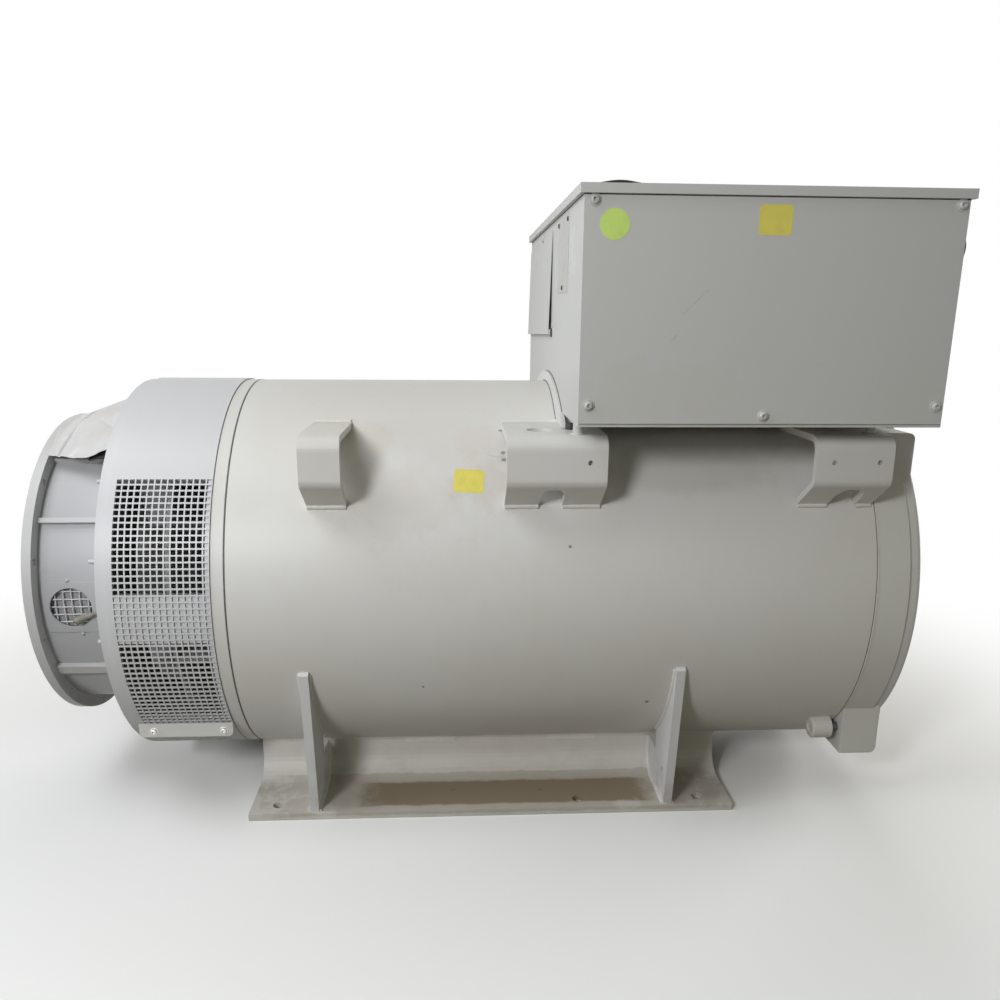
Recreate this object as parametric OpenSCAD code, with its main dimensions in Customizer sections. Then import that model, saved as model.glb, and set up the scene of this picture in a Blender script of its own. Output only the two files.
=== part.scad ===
// Industrial alternator, single bearing, on two bent-plate feet.
// X runs along the shaft from the drive end, Y across it and Z up.
// The floor is Z = 0 and the origin lies under the middle of the whole length.

/* [Frame] */
// Radius of the main barrel
frame_r = 400; // [370:1:440]
// Height of the shaft above the floor
shaft_h = 450; // [445:1:560]
// Length of the main barrel
frame_len = 1214; // [1150:1:1500]
// Depth of the hollow at the rear of the barrel
rear_hollow = 70; // [40:1:120]
// Wall of the barrel round that hollow
hollow_wall = 30; // [30:1:50]
// Bevel on both sides of a housing joint
joint_bevel = 1.5; // [0.5:0.1:3]

/* [Drive end] */
// Outer radius of the drive flange
flange_r = 323.85; // [315:0.05:345]
// Thickness of the drive flange
flange_t = 18; // [12:1:30]
// Radius of the register that centres the flange
register_r = 292.1; // [290:0.1:300]
// Length of the register
register_len = 5; // [3:0.5:8]
// Bolt circle radius of the drive flange
flange_bolt_r = 309.55; // [305:0.05:325]
// Diameter of the flange bolt holes
flange_bolt_d = 13.5; // [10:0.5:18]
// Number of flange bolt holes
flange_bolts = 12; // [8:1:16]
// Distance from the flange face to the front plate
adapter_len = 165; // [120:1:240]
// Thickness of the front plate
front_plate_t = 19; // [12:1:30]
// Outer radius of the window covers
cover_r = 298; // [294:1:304]
// Thickness of the window covers
cover_t = 2.5; // [2:0.5:4]
// Outer radius of the adapter ribs
rib_r = 308; // [304:1:320]
// Thickness of the upper ribs
rib_t = 10; // [8:1:16]
// Thickness of the lower ribs
low_rib_t = 22; // [14:1:30]
// Angle of the upper ribs above the horizontal
top_rib_a = 57; // [50:1:66]
// Angle of the middle ribs above and of the lower ribs below the horizontal
side_rib_a = 30; // [24:1:38]
// Diameter of the vent hole in the side covers
vent_d = 79; // [50:1:100]
// Distance of the vent hole from the flange face
vent_x = 75; // [65:1:110]
// Height of the vent hole above the shaft
vent_z = -12; // [-40:1:40]

/* [Air outlet] */
// Length of the windowed barrel behind the front plate
outlet_len = 185; // [150:1:260]
// Wall of the windowed barrel
outlet_wall = 15; // [8:1:25]
// Length of the frame ring behind it
ring_len = 25; // [15:1:50]
// Upper edge of the upper windows
window_top_a = 37; // [25:1:45]
// Lower edge of the upper windows
window_mid_up_a = 4.5; // [3:0.5:10]
// Upper edge of the lower windows, below the shaft
window_mid_low_a = 6; // [3:0.5:10]
// Margin of a window at both ends
window_margin = 9; // [6:1:20]
// Thickness of the perforated screen
screen_t = 2.5; // [1.5:0.5:4]
// Angle below the horizontal at which the screen ends
screen_end_a = 41; // [38:1:46]
// Height of the upright bar that clamps the screen's edge
clamp_h = 29; // [22:1:40]
// Thickness of that bar
clamp_t = 8; // [5:1:14]

/* [Rotor] */
// Radius of the shaft
shaft_r = 75; // [50:1:90]
// Radius of the coupling hub
hub_r = 120; // [100:1:150]
// Length of the coupling hub
hub_len = 80; // [50:1:120]
// Radius of the coupling disc
disc_r = 233.35; // [200:0.05:260]
// Thickness of the coupling disc pack
disc_t = 5; // [3:0.5:8]
// Distance that the disc stands out from the flange face
disc_out = 25.4; // [15:0.1:30]
// Bolt circle radius of the coupling disc
disc_bolt_r = 219.1; // [180:0.05:219.1]
// Diameter of the coupling disc holes
disc_bolt_d = 14.3; // [10:0.1:16]
// Number of coupling disc holes
disc_bolts = 8; // [6:1:12]
// Radius of the fan
fan_r = 350; // [300:1:365]
// Radius of the fan's hub
fan_hub_r = 130; // [110:1:160]
// Length of the fan blades
fan_blade_len = 82; // [50:1:90]
// Number of fan blades
fan_blades = 8; // [6:1:12]

/* [Rear end] */
// Length of the rear end shield
shield_len = 89; // [80:1:140]
// Width of the plain band of the shield next to the barrel
shield_band = 64; // [50:1:70]
// Thickness of the shield's end web
shield_web = 30; // [20:1:40]
// Outer radius of the air inlets
inlet_r = 340; // [300:1:345]
// Radius of the middle of the shield
shield_hub_r = 168; // [150:1:190]
// Number of air inlets
inlets = 8; // [6:1:10]
// Width of the arms between the inlets
inlet_arm = 34; // [24:1:60]
// Thickness of the inlet grille
grille_t = 3; // [2:0.5:5]
// Radius of the bearing cap
cap_r = 150; // [120:1:160]
// Length of the bearing cap
cap_len = 58; // [30:1:65]
// Distance of a corner lug's side face inside the barrel's side
lug_in = 80; // [60:1:85]
// Distance of an upper corner lug's top inside the barrel's top
lug_drop = 72; // [50:1:78]
// Distance of a lower corner lug's underside inside the barrel's bottom
low_lug_drop = 59; // [50:1:78]
// Length of a corner lug
lug_len = 76; // [60:1:80]
// Radius of a corner lug's outer edge at the rear
lug_edge_r = 12; // [4:1:20]
// Diameter of the bosses that face the lugs
boss_d = 46; // [36:1:52]
// Length of those bosses
boss_len = 38; // [30:1:80]
// Gap between the bosses and the shield's lugs
boss_gap = 14; // [0:1:30]
// Distance of the bosses' middle outside the barrel
boss_out = 14; // [10:1:18]
// Diameter of the bore in the bosses
boss_bore = 21; // [14:1:26]

/* [Feet] */
// Half width over the feet
foot_half = 351; // [345:1:420]
// Length of a foot
foot_len = 988; // [960:1:1150]
// Thickness of the foot plate
foot_t = 15; // [10:1:25]
// Distance of the foot's upright web from the middle
foot_web = 191; // [170:1:220]
// Inner radius of the foot's bend
foot_bend = 50; // [30:1:60]
// Distance of the foot holes from the middle
foot_hole_y = 318; // [305:1:330]
// Diameter of the foot holes
foot_hole_d = 24; // [18:1:30]
// Distance of the first foot hole from the end of the foot
foot_hole_x1 = 55; // [40:1:70]
// Distance of the second foot hole
foot_hole_x2 = 671; // [600:1:720]
// Distance of the third foot hole
foot_hole_x3 = 923; // [860:1:930]
// Thickness of the gussets
gusset_t = 18; // [10:1:25]
// Distance of the front gusset from the end of the foot
gusset_x1 = 132; // [90:1:180]
// Distance of the rear gusset
gusset_x2 = 852; // [760:1:860]
// Length of the gusset's notch under the barrel
gusset_notch = 67; // [40:1:80]
// Depth of the gusset's top below the shaft
gusset_top = 115; // [90:1:180]

/* [Brackets] */
// Distance by which the bent brackets stand out beyond the barrel's side
bracket_out = 20; // [14:1:50]
// Depth of the bracket's top below the barrel's top
bracket_drop = 65; // [63:1:69]
// Thickness of the bracket plate
bracket_t = 12; // [8:1:14]
// Outer radius of the upper fold
fold_r = 26; // [18:1:36]
// Height of the bracket's upright face over both folds
face_h = 88; // [73:1:95]
// Outer radius of the lower fold
lower_fold_r = 20; // [16:1:30]
// Distance of the lifting lug from the barrel's front
lifting_x = 147; // [120:1:200]
// Width of the lifting lug
lifting_w = 73; // [50:1:110]
// Distance of the front box bracket from the barrel's front
front_bracket_x = 510; // [480:1:520]
// Width of the front box bracket
front_bracket_w = 179; // [160:1:200]
// Distance of the rear box bracket from the barrel's front
rear_bracket_x = 1063; // [1020:1:1065]
// Width of the rear box bracket
rear_bracket_w = 143; // [130:1:150]
// Diameter of the lifting hole in the top of the front box bracket
lifting_hole_d = 46; // [30:1:60]
// Distance of the lifting hole inside the bracket's face
lifting_hole_in = 89; // [60:1:120]
// Diameter of the small holes in the box brackets
small_hole_d = 9; // [6:1:12]
// Diameter of the posts under the box
post_d = 18; // [12:1:24]

/* [Terminal box] */
// Distance of the box from the barrel's front
box_x = 624; // [600:1:640]
// Length of the box
box_len = 622; // [600:1:660]
// Half width of the box
box_half = 482; // [440:1:520]
// Depth of the box floor below the saddle's crown
box_sink = 63; // [50:1:66]
// Height of the box up to its lid
box_h = 363; // [300:1:420]
// Thickness of the box sheet
box_t = 3; // [2:0.5:5]
// Height of the lid's rim
lid_h = 15; // [10:1:25]
// Overhang of the lid
lid_over = 7; // [4:1:12]
// Thickness of the lid's seal
seal_t = 1.5; // [1:0.5:3]
// Height of the saddle's crown over the barrel
saddle_h = 22; // [16:1:30]
// Radius of the saddle's outer edge, flatter than the barrel
saddle_r = 604; // [520:1:680]
// Height of the access cover
access_h = 208; // [160:1:220]
// Distance of the access cover's upper edge below the lid
access_drop = 14; // [10:1:30]
// Outward lean of the access cover in degrees
access_lean = 1.6; // [1:0.1:5]
// Sag of the access cover's far end in degrees
access_sag = 1.2; // [0:0.1:2]

/* [Hidden] */
$fn = 180;
// Gap left where a curved face seats on another piece
seat = 0.3;
// Length by which a cutting tool runs past a face
past = 1;

// Stations along the shaft, from the flange face
front_x = adapter_len;
outlet_x = front_x + front_plate_t;
ring_x = outlet_x + outlet_len;
frame_x = ring_x + ring_len;
shield_x = frame_x + frame_len;
shield_end = shield_x + shield_len;
web_x = shield_end - shield_web;
cap_end = shield_end + cap_len;
middle_x = (cap_end - disc_out) / 2;
// Faces of the foot and of the box
floor_z = -shaft_h;
foot_top = floor_z + foot_t;
rear_hollow_r = frame_r - hollow_wall;
boss_r = frame_r + boss_out;
lug_half = frame_r - lug_in;
bracket_half = frame_r + bracket_out;
bracket_z = frame_r - bracket_drop;
lower_fold_z = bracket_z - face_h;
saddle_top = frame_r + saddle_h;
saddle_centre = saddle_top - saddle_r;
screen_r = frame_r + seat + screen_t;
box_z = saddle_top - box_sink;
box_front_x = frame_x + box_x;
box_rear_x = box_front_x + box_len;
box_top = box_z + box_h;
lid_z = box_top + seal_t;
saddle_side_t = 6;
saddle_y = sqrt(pow(saddle_r, 2) - pow(box_z - saddle_centre, 2)) - saddle_side_t - 1;
access_top = box_top - access_drop;
housing_paint = [0.80, 0.81, 0.81];
dark_paint = [0.42, 0.43, 0.44];
bare_steel = [0.62, 0.62, 0.62];

function arc(centre, r, from, to, steps = 8) =
  [for (i = [0 : steps]) let (a = from + (to - from) * i / steps) centre + r * [cos(a), sin(a)]];

// Moves the machine from the shaft axis to its place over the floor
module placed() {
  translate([-middle_x, 0, shaft_h]) children();
}

module mirrored(far) {
  if (far) mirror([0, 1, 0]) children();
  else children();
}

// Lays a shape that stands on Z along the shaft, starting at x
module along(x) {
  translate([x, 0, 0]) rotate([0, 90, 0]) children();
}

module disc(r, x0, x1) {
  along(x0) cylinder(h = x1 - x0, r = r);
}

module tube(r_out, r_in, x0, x1) {
  difference() {
    disc(r_out, x0, x1);
    disc(r_in, x0 - past, x1 + past);
  }
}

// A tube's stretch between two angles above the horizontal of the near side
module tube_arc(r_out, r_in, x0, x1, from, to) {
  along(x0) rotate([0, 0, -to - 90])
    rotate_extrude(angle = to - from) translate([r_in, 0]) square([r_out - r_in, x1 - x0]);
}

// Turns what is drawn on the near side up by an angle
module turned(a) {
  rotate([-a, 0, 0]) children();
}

// Holes or pins along the shaft on a circle, straddling the horizontal
module on_circle(count, r, x, start) {
  for (i = [0 : count - 1]) turned(start + i * 360 / count) translate([x, -r, 0]) children();
}

// A profile in Y and Z drawn out along the shaft
module profile(x, length) {
  translate([x, 0, 0]) rotate([90, 0, 90]) linear_extrude(length) children();
}

module drive_flange() {
  color(housing_paint) difference() {
    union() {
      disc(flange_r, 0, flange_t);
      disc(register_r, -register_len, 0);
    }
    disc(register_r - 4, -register_len - past, flange_t + past);
    on_circle(flange_bolts, flange_bolt_r, -past, 180 / flange_bolts)
      rotate([0, 90, 0]) cylinder(h = flange_t + 2 * past, d = flange_bolt_d);
  }
}

module rib(a, t, depth) {
  turned(a) translate([flange_t, -rib_r, -t / 2]) cube([front_x - flange_t, depth, t]);
}

module adapter_ribs() {
  color(housing_paint) for (far = [false, true]) mirrored(far) {
    rib(top_rib_a, rib_t, 24);
    rib(side_rib_a, rib_t, 24);
    rib(-side_rib_a, low_rib_t, 36);
  }
}

// Half the angle that a rib takes at the covers, with the seat gap
function rib_half_a(t) = asin((t / 2 + seat) / (cover_r - cover_t));

module side_cover(far) {
  color(housing_paint) mirrored(far) difference() {
    tube_arc(cover_r, cover_r - cover_t, flange_t, front_x,
      -side_rib_a + rib_half_a(low_rib_t), side_rib_a - rib_half_a(rib_t));
    translate([vent_x, -cover_r + 25, vent_z]) rotate([90, 0, 0]) cylinder(h = 50, d = vent_d);
  }
}

module covers_upper() {
  color(housing_paint) for (far = [false, true]) mirrored(far)
    tube_arc(cover_r, cover_r - cover_t, flange_t, front_x,
      side_rib_a + rib_half_a(rib_t), top_rib_a - rib_half_a(rib_t));
}

module cover_bottom() {
  edge_a = side_rib_a + rib_half_a(low_rib_t);
  color(housing_paint) tube_arc(cover_r, cover_r - cover_t, flange_t, front_x, edge_a - 180, -edge_a);
}

module vent_meshes() {
  color(bare_steel) for (far = [false, true]) mirrored(far)
    tube_arc(cover_r - cover_t - seat, cover_r - cover_t - seat - 1.5,
      vent_x - vent_d / 2 - 12, vent_x + vent_d / 2 + 12, -12, 8);
}

// The film that closes the top window runs from the flange's rim to the front plate
module window_film() {
  film_t = 1.5;
  start_r = flange_r + seat;
  end_r = frame_r - 22;
  mid_r = (start_r + end_r) / 2 - 4;
  outline = [[start_r, 4], [start_r, flange_t + 4], [mid_r, front_x / 2 + 10], [end_r, front_x - seat]];
  lifted = [for (i = [3 : -1 : 0]) outline[i] + [film_t, 0]];
  color("white") rotate([0, 90, 0]) rotate([0, 0, 180 - (90 - top_rib_a)])
    rotate_extrude(angle = 2 * (90 - top_rib_a)) polygon(concat(outline, lifted));
}

module front_plate() {
  color(housing_paint) tube(frame_r, cover_r - 12, front_x, outlet_x);
}

module outlet_window(from, to) {
  clear = 5;
  tube_arc(frame_r + clear, frame_r - outlet_wall - clear,
    outlet_x + window_margin, ring_x - window_margin, from, to);
}

module outlet_barrel() {
  color(housing_paint) difference() {
    tube(frame_r, frame_r - outlet_wall, outlet_x, ring_x);
    for (far = [false, true]) mirrored(far) {
      outlet_window(window_mid_up_a, window_top_a);
      outlet_window(-window_top_a, -window_mid_low_a);
    }
  }
}

module outlet_screen() {
  color(housing_paint)
    tube_arc(screen_r, frame_r + seat, outlet_x, ring_x, -screen_end_a, 180 + screen_end_a);
}

// An angle bar: an upright leg against the screen's lower edge and a level leg back to the barrel
module screen_clamp(far) {
  upright_top = -screen_r * sin(screen_end_a - 3);
  face_y = -screen_r * cos(screen_end_a - 3) - 3;
  length = outlet_len - 2;
  corner = 7;
  color(bare_steel) mirrored(far) {
    difference() {
      translate([outlet_x + 2, face_y + clamp_t, upright_top]) rotate([90, 0, 0])
        linear_extrude(clamp_t) polygon([[0, 0], [length, 0], [length, corner - clamp_h],
          [length - corner, -clamp_h], [corner, -clamp_h], [0, corner - clamp_h]]);
      disc(screen_r + seat, outlet_x - past, ring_x + past);
    }
    difference() {
      translate([outlet_x + 2 + corner, face_y + clamp_t - 1, upright_top - clamp_h])
        cube([length - 2 * corner, 26, clamp_t]);
      disc(frame_r + seat, outlet_x - past, ring_x + past);
    }
  }
}

module frame_ring() {
  color(housing_paint) difference() {
    along(ring_x) cylinder(h = ring_len, r = frame_r);
    disc(frame_r - outlet_wall, ring_x - past, frame_x + past);
    bevel(frame_x, -1);
  }
}

// Cuts the outer edge of a housing at a joint, on the side that way points to
module bevel(x, way) {
  near = min(x, x + way * joint_bevel) - (way > 0 ? past : 0);
  difference() {
    disc(frame_r + past, near, near + joint_bevel + past);
    disc(frame_r - joint_bevel, near - past, near + joint_bevel + 2 * past);
  }
}

module shaft_hub() {
  color(bare_steel) {
    disc(hub_r, disc_t - disc_out, disc_t - disc_out + hub_len);
    disc(shaft_r, 0, frame_x);
  }
}

module coupling_disc() {
  color(bare_steel) difference() {
    disc(disc_r, -disc_out, disc_t - disc_out);
    on_circle(disc_bolts, disc_bolt_r, -disc_out - past, 180 / disc_bolts)
      rotate([0, 90, 0]) cylinder(h = disc_t + 2 * past, d = disc_bolt_d);
  }
}

module fan() {
  plate_t = 8;
  fan_x = ring_x - fan_blade_len - plate_t - 6;
  color(dark_paint) difference() {
    union() {
      disc(fan_r, fan_x, fan_x + plate_t);
      disc(fan_hub_r, fan_x, fan_x + plate_t + fan_blade_len);
      for (i = [0 : fan_blades - 1]) turned(27 + i * 360 / fan_blades)
        translate([fan_x, -fan_r, -3]) cube([fan_blade_len + plate_t, fan_r - fan_hub_r + 5, 6]);
    }
    disc(shaft_r + seat, fan_x - past, fan_x + plate_t + fan_blade_len + past);
  }
}

module lug_boss(a, d, longer) {
  turned(a) translate([shield_x - boss_gap - boss_len - longer, -boss_r, 0])
    rotate([0, 90, 0]) cylinder(h = boss_len + 2 * longer, d = d);
}

module stator_frame() {
  color(housing_paint) difference() {
    union() {
      disc(frame_r, frame_x, shield_x);
      for (a = [45, 135, 225, 315]) lug_boss(a, boss_d, 0);
    }
    for (a = [45, 135, 225, 315]) lug_boss(a, boss_bore, past);
    disc(rear_hollow_r, shield_x - rear_hollow, shield_x + past);
    bevel(frame_x, 1);
  }
}

// Outline of the shield's casting in radius and length
module shield_section() {
  lip = 4;
  nose = 9;
  rotate([0, 90, 0]) translate([0, 0, shield_x]) rotate_extrude()
    polygon(concat(
      [[shield_hub_r - 60, shield_len - shield_web], [rear_hollow_r, shield_len - shield_web],
       [rear_hollow_r, 0], [frame_r - joint_bevel, 0], [frame_r, joint_bevel],
       [frame_r, shield_band], [frame_r - lip, shield_band + lip]],
      arc([frame_r - lip - nose, shield_len - nose], nose, 0, 90, 4),
      [[shield_hub_r - 60, shield_len]]));
}

module air_inlets() {
  difference() {
    tube(inlet_r, shield_hub_r, web_x - past, shield_end + past);
    for (i = [0 : inlets - 1]) turned((i + 0.5) * 360 / inlets)
      translate([web_x - 2 * past, -frame_r, -inlet_arm / 2])
        cube([shield_web + 4 * past, frame_r, inlet_arm]);
  }
}

// A block on the shield's corner, drop below the barrel's top, with its outer rear edge rounded
module corner_lug(drop) {
  block = 130;
  top_z = frame_r - drop;
  difference() {
    translate([shield_x + 3, -lug_half + block, top_z - block]) rotate([90, 0, 0]) linear_extrude(block)
      polygon(concat([[0, 0], [lug_len, 0]],
        arc([lug_len - lug_edge_r, block - lug_edge_r], lug_edge_r, 0, 90), [[0, block]]));
    disc(frame_r - 6, shield_x, shield_end + past);
  }
}

module rear_end_shield() {
  color(housing_paint) difference() {
    union() {
      shield_section();
      for (far = [false, true]) mirrored(far) {
        corner_lug(lug_drop);
        mirror([0, 0, 1]) corner_lug(low_lug_drop);
      }
    }
    air_inlets();
  }
}

module inlet_grille() {
  color(housing_paint) tube(inlet_r + 20, shield_hub_r - 30, web_x - grille_t, web_x);
}

module exciter() {
  color(dark_paint) tube(shield_hub_r - 34, shaft_r, shield_x - rear_hollow, web_x);
}

module bearing_cap() {
  rim = 12;
  color(housing_paint) rotate([0, 90, 0]) translate([0, 0, shield_end]) rotate_extrude()
    polygon(concat([[0, 0], [cap_r, 0], [cap_r, rim], [cap_r - 22, rim + 3]],
      arc([cap_r - 22 - rim, cap_len - rim], rim, 0, 90, 4), [[0, cap_len]]));
}

function foot_outline() = concat(
  [[-foot_half, floor_z], [-foot_half, foot_top]],
  arc([-foot_web - foot_bend, foot_top + foot_bend], foot_bend, 270, 360),
  [[-foot_web, -frame_r * 0.8], [-foot_web + foot_t, -frame_r * 0.8]],
  arc([-foot_web - foot_bend, foot_top + foot_bend], foot_bend + foot_t, 360, 270));

module foot(far) {
  color(housing_paint) mirrored(far) difference() {
    profile(frame_x, foot_len) polygon(foot_outline());
    disc(frame_r + seat, frame_x - past, frame_x + foot_len + past);
    for (hole_x = [foot_hole_x1, foot_hole_x2, foot_hole_x3])
      translate([frame_x + hole_x, -foot_hole_y, floor_z - past])
        cylinder(h = foot_t + 2 * past, d = foot_hole_d);
  }
}

// A gusset follows the foot's bend and leaves a notch where the web meets the barrel
module gusset(x, far) {
  shoulder_y = sqrt(frame_r * frame_r - gusset_top * gusset_top);
  notch_y = -foot_web - gusset_notch;
  notch_z = -sqrt(frame_r * frame_r - foot_web * foot_web) - 4;
  color(housing_paint) mirrored(far) difference() {
    profile(frame_x + x - gusset_t / 2, gusset_t) polygon(concat(
      [[-foot_half + 4, foot_top], [-shoulder_y - 8, -gusset_top - 6], [-shoulder_y - 3, -gusset_top],
       [-shoulder_y + 30, -gusset_top], [notch_y, -frame_r * 0.7], [notch_y, notch_z],
       [-foot_web - seat, notch_z]],
      arc([-foot_web - foot_bend, foot_top + foot_bend], foot_bend - seat, 360, 270),
      [[-foot_web - foot_bend - 1, foot_top]]));
    disc(frame_r + seat, frame_x, shield_x);
  }
}

// The bent plate of a bracket: a level top, an upright face and a stretch that leans back to the barrel
function bracket_outline() =
  let (lean = 54.3,
       upper = [-bracket_half + fold_r, bracket_z - fold_r],
       lower = [-bracket_half + lower_fold_r, lower_fold_z + lower_fold_r * tan(lean / 2)],
       run = 130 * [sin(lean), -cos(lean)],
       foot_out = lower + lower_fold_r * [-cos(lean), -sin(lean)] + run,
       foot_in = lower + (lower_fold_r - bracket_t) * [-cos(lean), -sin(lean)] + run)
  concat([[-frame_r / 3, bracket_z]], arc(upper, fold_r, 90, 180), arc(lower, lower_fold_r, 180, 180 + lean),
    [foot_out, foot_in], arc(lower, lower_fold_r - bracket_t, 180 + lean, 180),
    arc(upper, fold_r - bracket_t, 180, 90), [[-frame_r / 3, bracket_z - bracket_t]]);

module bracket(x, w, far) {
  color(housing_paint) mirrored(far) difference() {
    profile(frame_x + x, w) polygon(bracket_outline());
    disc(frame_r + seat, frame_x, shield_x + past);
    if ($children > 0) children();
  }
}

// An arched notch in the leaning stretch of a bracket, open at its lower edge
module notch(x, w) {
  top_z = lower_fold_z - 8;
  near_y = -bracket_half + bracket_t + 4;
  reach = 140;
  drop = 120;
  translate([x, near_y, top_z - w / 2]) {
    rotate([-90, 0, 0]) cylinder(h = reach, d = w);
    translate([-w / 2, 0, -drop]) cube([w, reach, drop]);
  }
}

module face_hole(x) {
  translate([x, -bracket_half - past, bracket_z - 47]) rotate([-90, 0, 0])
    cylinder(h = bracket_t + 2 * past, d = small_hole_d);
}

module lifting_lug(far) {
  bracket(lifting_x, lifting_w, far);
}

module front_box_bracket(far) {
  x = frame_x + front_bracket_x;
  bracket(front_bracket_x, front_bracket_w, far) {
    notch(x + 86, 43);
    face_hole(x + 148);
    translate([x + 64, -bracket_half + lifting_hole_in, bracket_z - bracket_t - past])
      cylinder(h = bracket_t + 2 * past, d = lifting_hole_d);
  }
}

module rear_box_bracket(far) {
  x = frame_x + rear_bracket_x;
  bracket(rear_bracket_x, rear_bracket_w, far) {
    notch(x + 84, 52);
    face_hole(x + 34);
    face_hole(x + 117);
  }
}

module box_posts() {
  post_in = 34;
  front_post = box_front_x + 14;
  rear_post = frame_x + rear_bracket_x + 108;
  color(bare_steel) for (far = [false, true], x = [front_post, rear_post]) mirrored(far)
    translate([x, -bracket_half + post_in, bracket_z]) cylinder(h = box_z - bracket_z, d = post_d);
}

// The round of the saddle's outer edge, whose centre lies below the shaft
module saddle_disc(r, x1, x2) {
  translate([0, 0, saddle_centre]) disc(r, x1, x2);
}

// The saddle's arches end just over the brackets' tops
module box_saddle() {
  lip = 6;
  color(housing_paint) difference() {
    union() {
      for (x = [box_front_x - lip, box_rear_x - box_t]) difference() {
        saddle_disc(saddle_r - seat, x, x + lip + box_t);
        translate([x - past, -saddle_r, bracket_z + 1 - 2 * saddle_r])
          cube([lip + box_t + 2 * past, 2 * saddle_r, 2 * saddle_r]);
      }
      for (far = [false, true]) mirrored(far)
        translate([box_front_x, -saddle_y - saddle_side_t, bracket_z + seat])
          cube([box_len, saddle_side_t, box_z - bracket_z - seat]);
    }
    disc(frame_r + seat, box_front_x - 10, box_rear_x + 10);
  }
}

module box_floor() {
  color(housing_paint) for (far = [false, true]) mirrored(far)
    translate([box_front_x + box_t, -box_half + box_t, box_z])
      cube([box_len - 2 * box_t, box_half - box_t - saddle_y, box_t]);
}

module long_panel(far) {
  color(housing_paint) mirrored(far)
    translate([box_front_x, -box_half, box_z]) cube([box_len, box_t, box_h]);
}

module end_panel(x) {
  difference() {
    translate([x, -box_half + box_t, box_z]) cube([box_t, 2 * (box_half - box_t), box_h]);
    saddle_disc(saddle_r, x - past, x + box_t + past);
  }
}

module box_drive_panel() {
  color(housing_paint) difference() {
    end_panel(box_front_x);
    translate([box_front_x - past, 0, access_top - access_h + 20])
      cube([box_t + 2 * past, box_half - 60, access_h - 50]);
  }
}

module box_rear_panel() {
  color(housing_paint) end_panel(box_rear_x - box_t);
}

module box_seal() {
  color(dark_paint) difference() {
    translate([box_front_x, -box_half, box_top]) cube([box_len, 2 * box_half, seal_t]);
    translate([box_front_x + 20, -box_half + 20, box_top - past])
      cube([box_len - 40, 2 * box_half - 40, seal_t + 2 * past]);
  }
}

module box_lid() {
  color(housing_paint) difference() {
    translate([box_front_x - lid_over, -box_half - lid_over, lid_z])
      cube([box_len + 2 * lid_over, 2 * (box_half + lid_over), lid_h]);
    translate([box_front_x + 20, -box_half + 20, lid_z - past])
      cube([box_len - 40, 2 * box_half - 40, lid_h - box_t + past]);
  }
}

// The access cover hangs from its upper edge, stands out a little at the bottom and sags at its far end
module access_cover() {
  cover_sheet = 2;
  near_y = -34;
  color(housing_paint) translate([box_front_x - seat, near_y, access_top])
    rotate([0, access_lean, 0]) rotate([-access_sag, 0, 0])
      translate([-cover_sheet, 0, -access_h]) cube([cover_sheet, box_half - near_y - 14, access_h]);
}

module rating_plate() {
  near_y = -300;
  plate_w = 155;
  plate_h = 134;
  plate_drop = 8;
  color(bare_steel) translate([box_front_x - 1, near_y, box_top - plate_drop - plate_h])
    cube([1, plate_w, plate_h]);
}

placed() drive_flange();
placed() adapter_ribs();
placed() side_cover(false);  // cover_near_side
placed() side_cover(true);  // cover_far_side
placed() covers_upper();
placed() cover_bottom();
placed() vent_meshes();
placed() window_film();
placed() front_plate();
placed() outlet_barrel();
placed() outlet_screen();
placed() screen_clamp(false);  // screen_clamp_near
placed() screen_clamp(true);  // screen_clamp_far
placed() frame_ring();
placed() shaft_hub();
placed() coupling_disc();
placed() fan();
placed() stator_frame();
placed() rear_end_shield();
placed() inlet_grille();
placed() exciter();
placed() bearing_cap();
placed() foot(false);  // foot_near
placed() foot(true);  // foot_far
placed() gusset(gusset_x1, false);  // gusset_front_near
placed() gusset(gusset_x1, true);  // gusset_front_far
placed() gusset(gusset_x2, false);  // gusset_rear_near
placed() gusset(gusset_x2, true);  // gusset_rear_far
placed() lifting_lug(false);  // lifting_lug_near
placed() lifting_lug(true);  // lifting_lug_far
placed() front_box_bracket(false);  // box_bracket_front_near
placed() front_box_bracket(true);  // box_bracket_front_far
placed() rear_box_bracket(false);  // box_bracket_rear_near
placed() rear_box_bracket(true);  // box_bracket_rear_far
placed() box_posts();
placed() box_saddle();
placed() box_floor();
placed() long_panel(false);  // box_front_panel
placed() long_panel(true);  // box_back_panel
placed() box_drive_panel();
placed() box_rear_panel();
placed() box_seal();
placed() box_lid();
placed() access_cover();
placed() rating_plate();
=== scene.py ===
import random
from math import acos, ceil, cos, degrees, exp, hypot, pi, radians, sin, sqrt, tau

import bmesh
import bpy
from mathutils import Matrix, Vector


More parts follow.
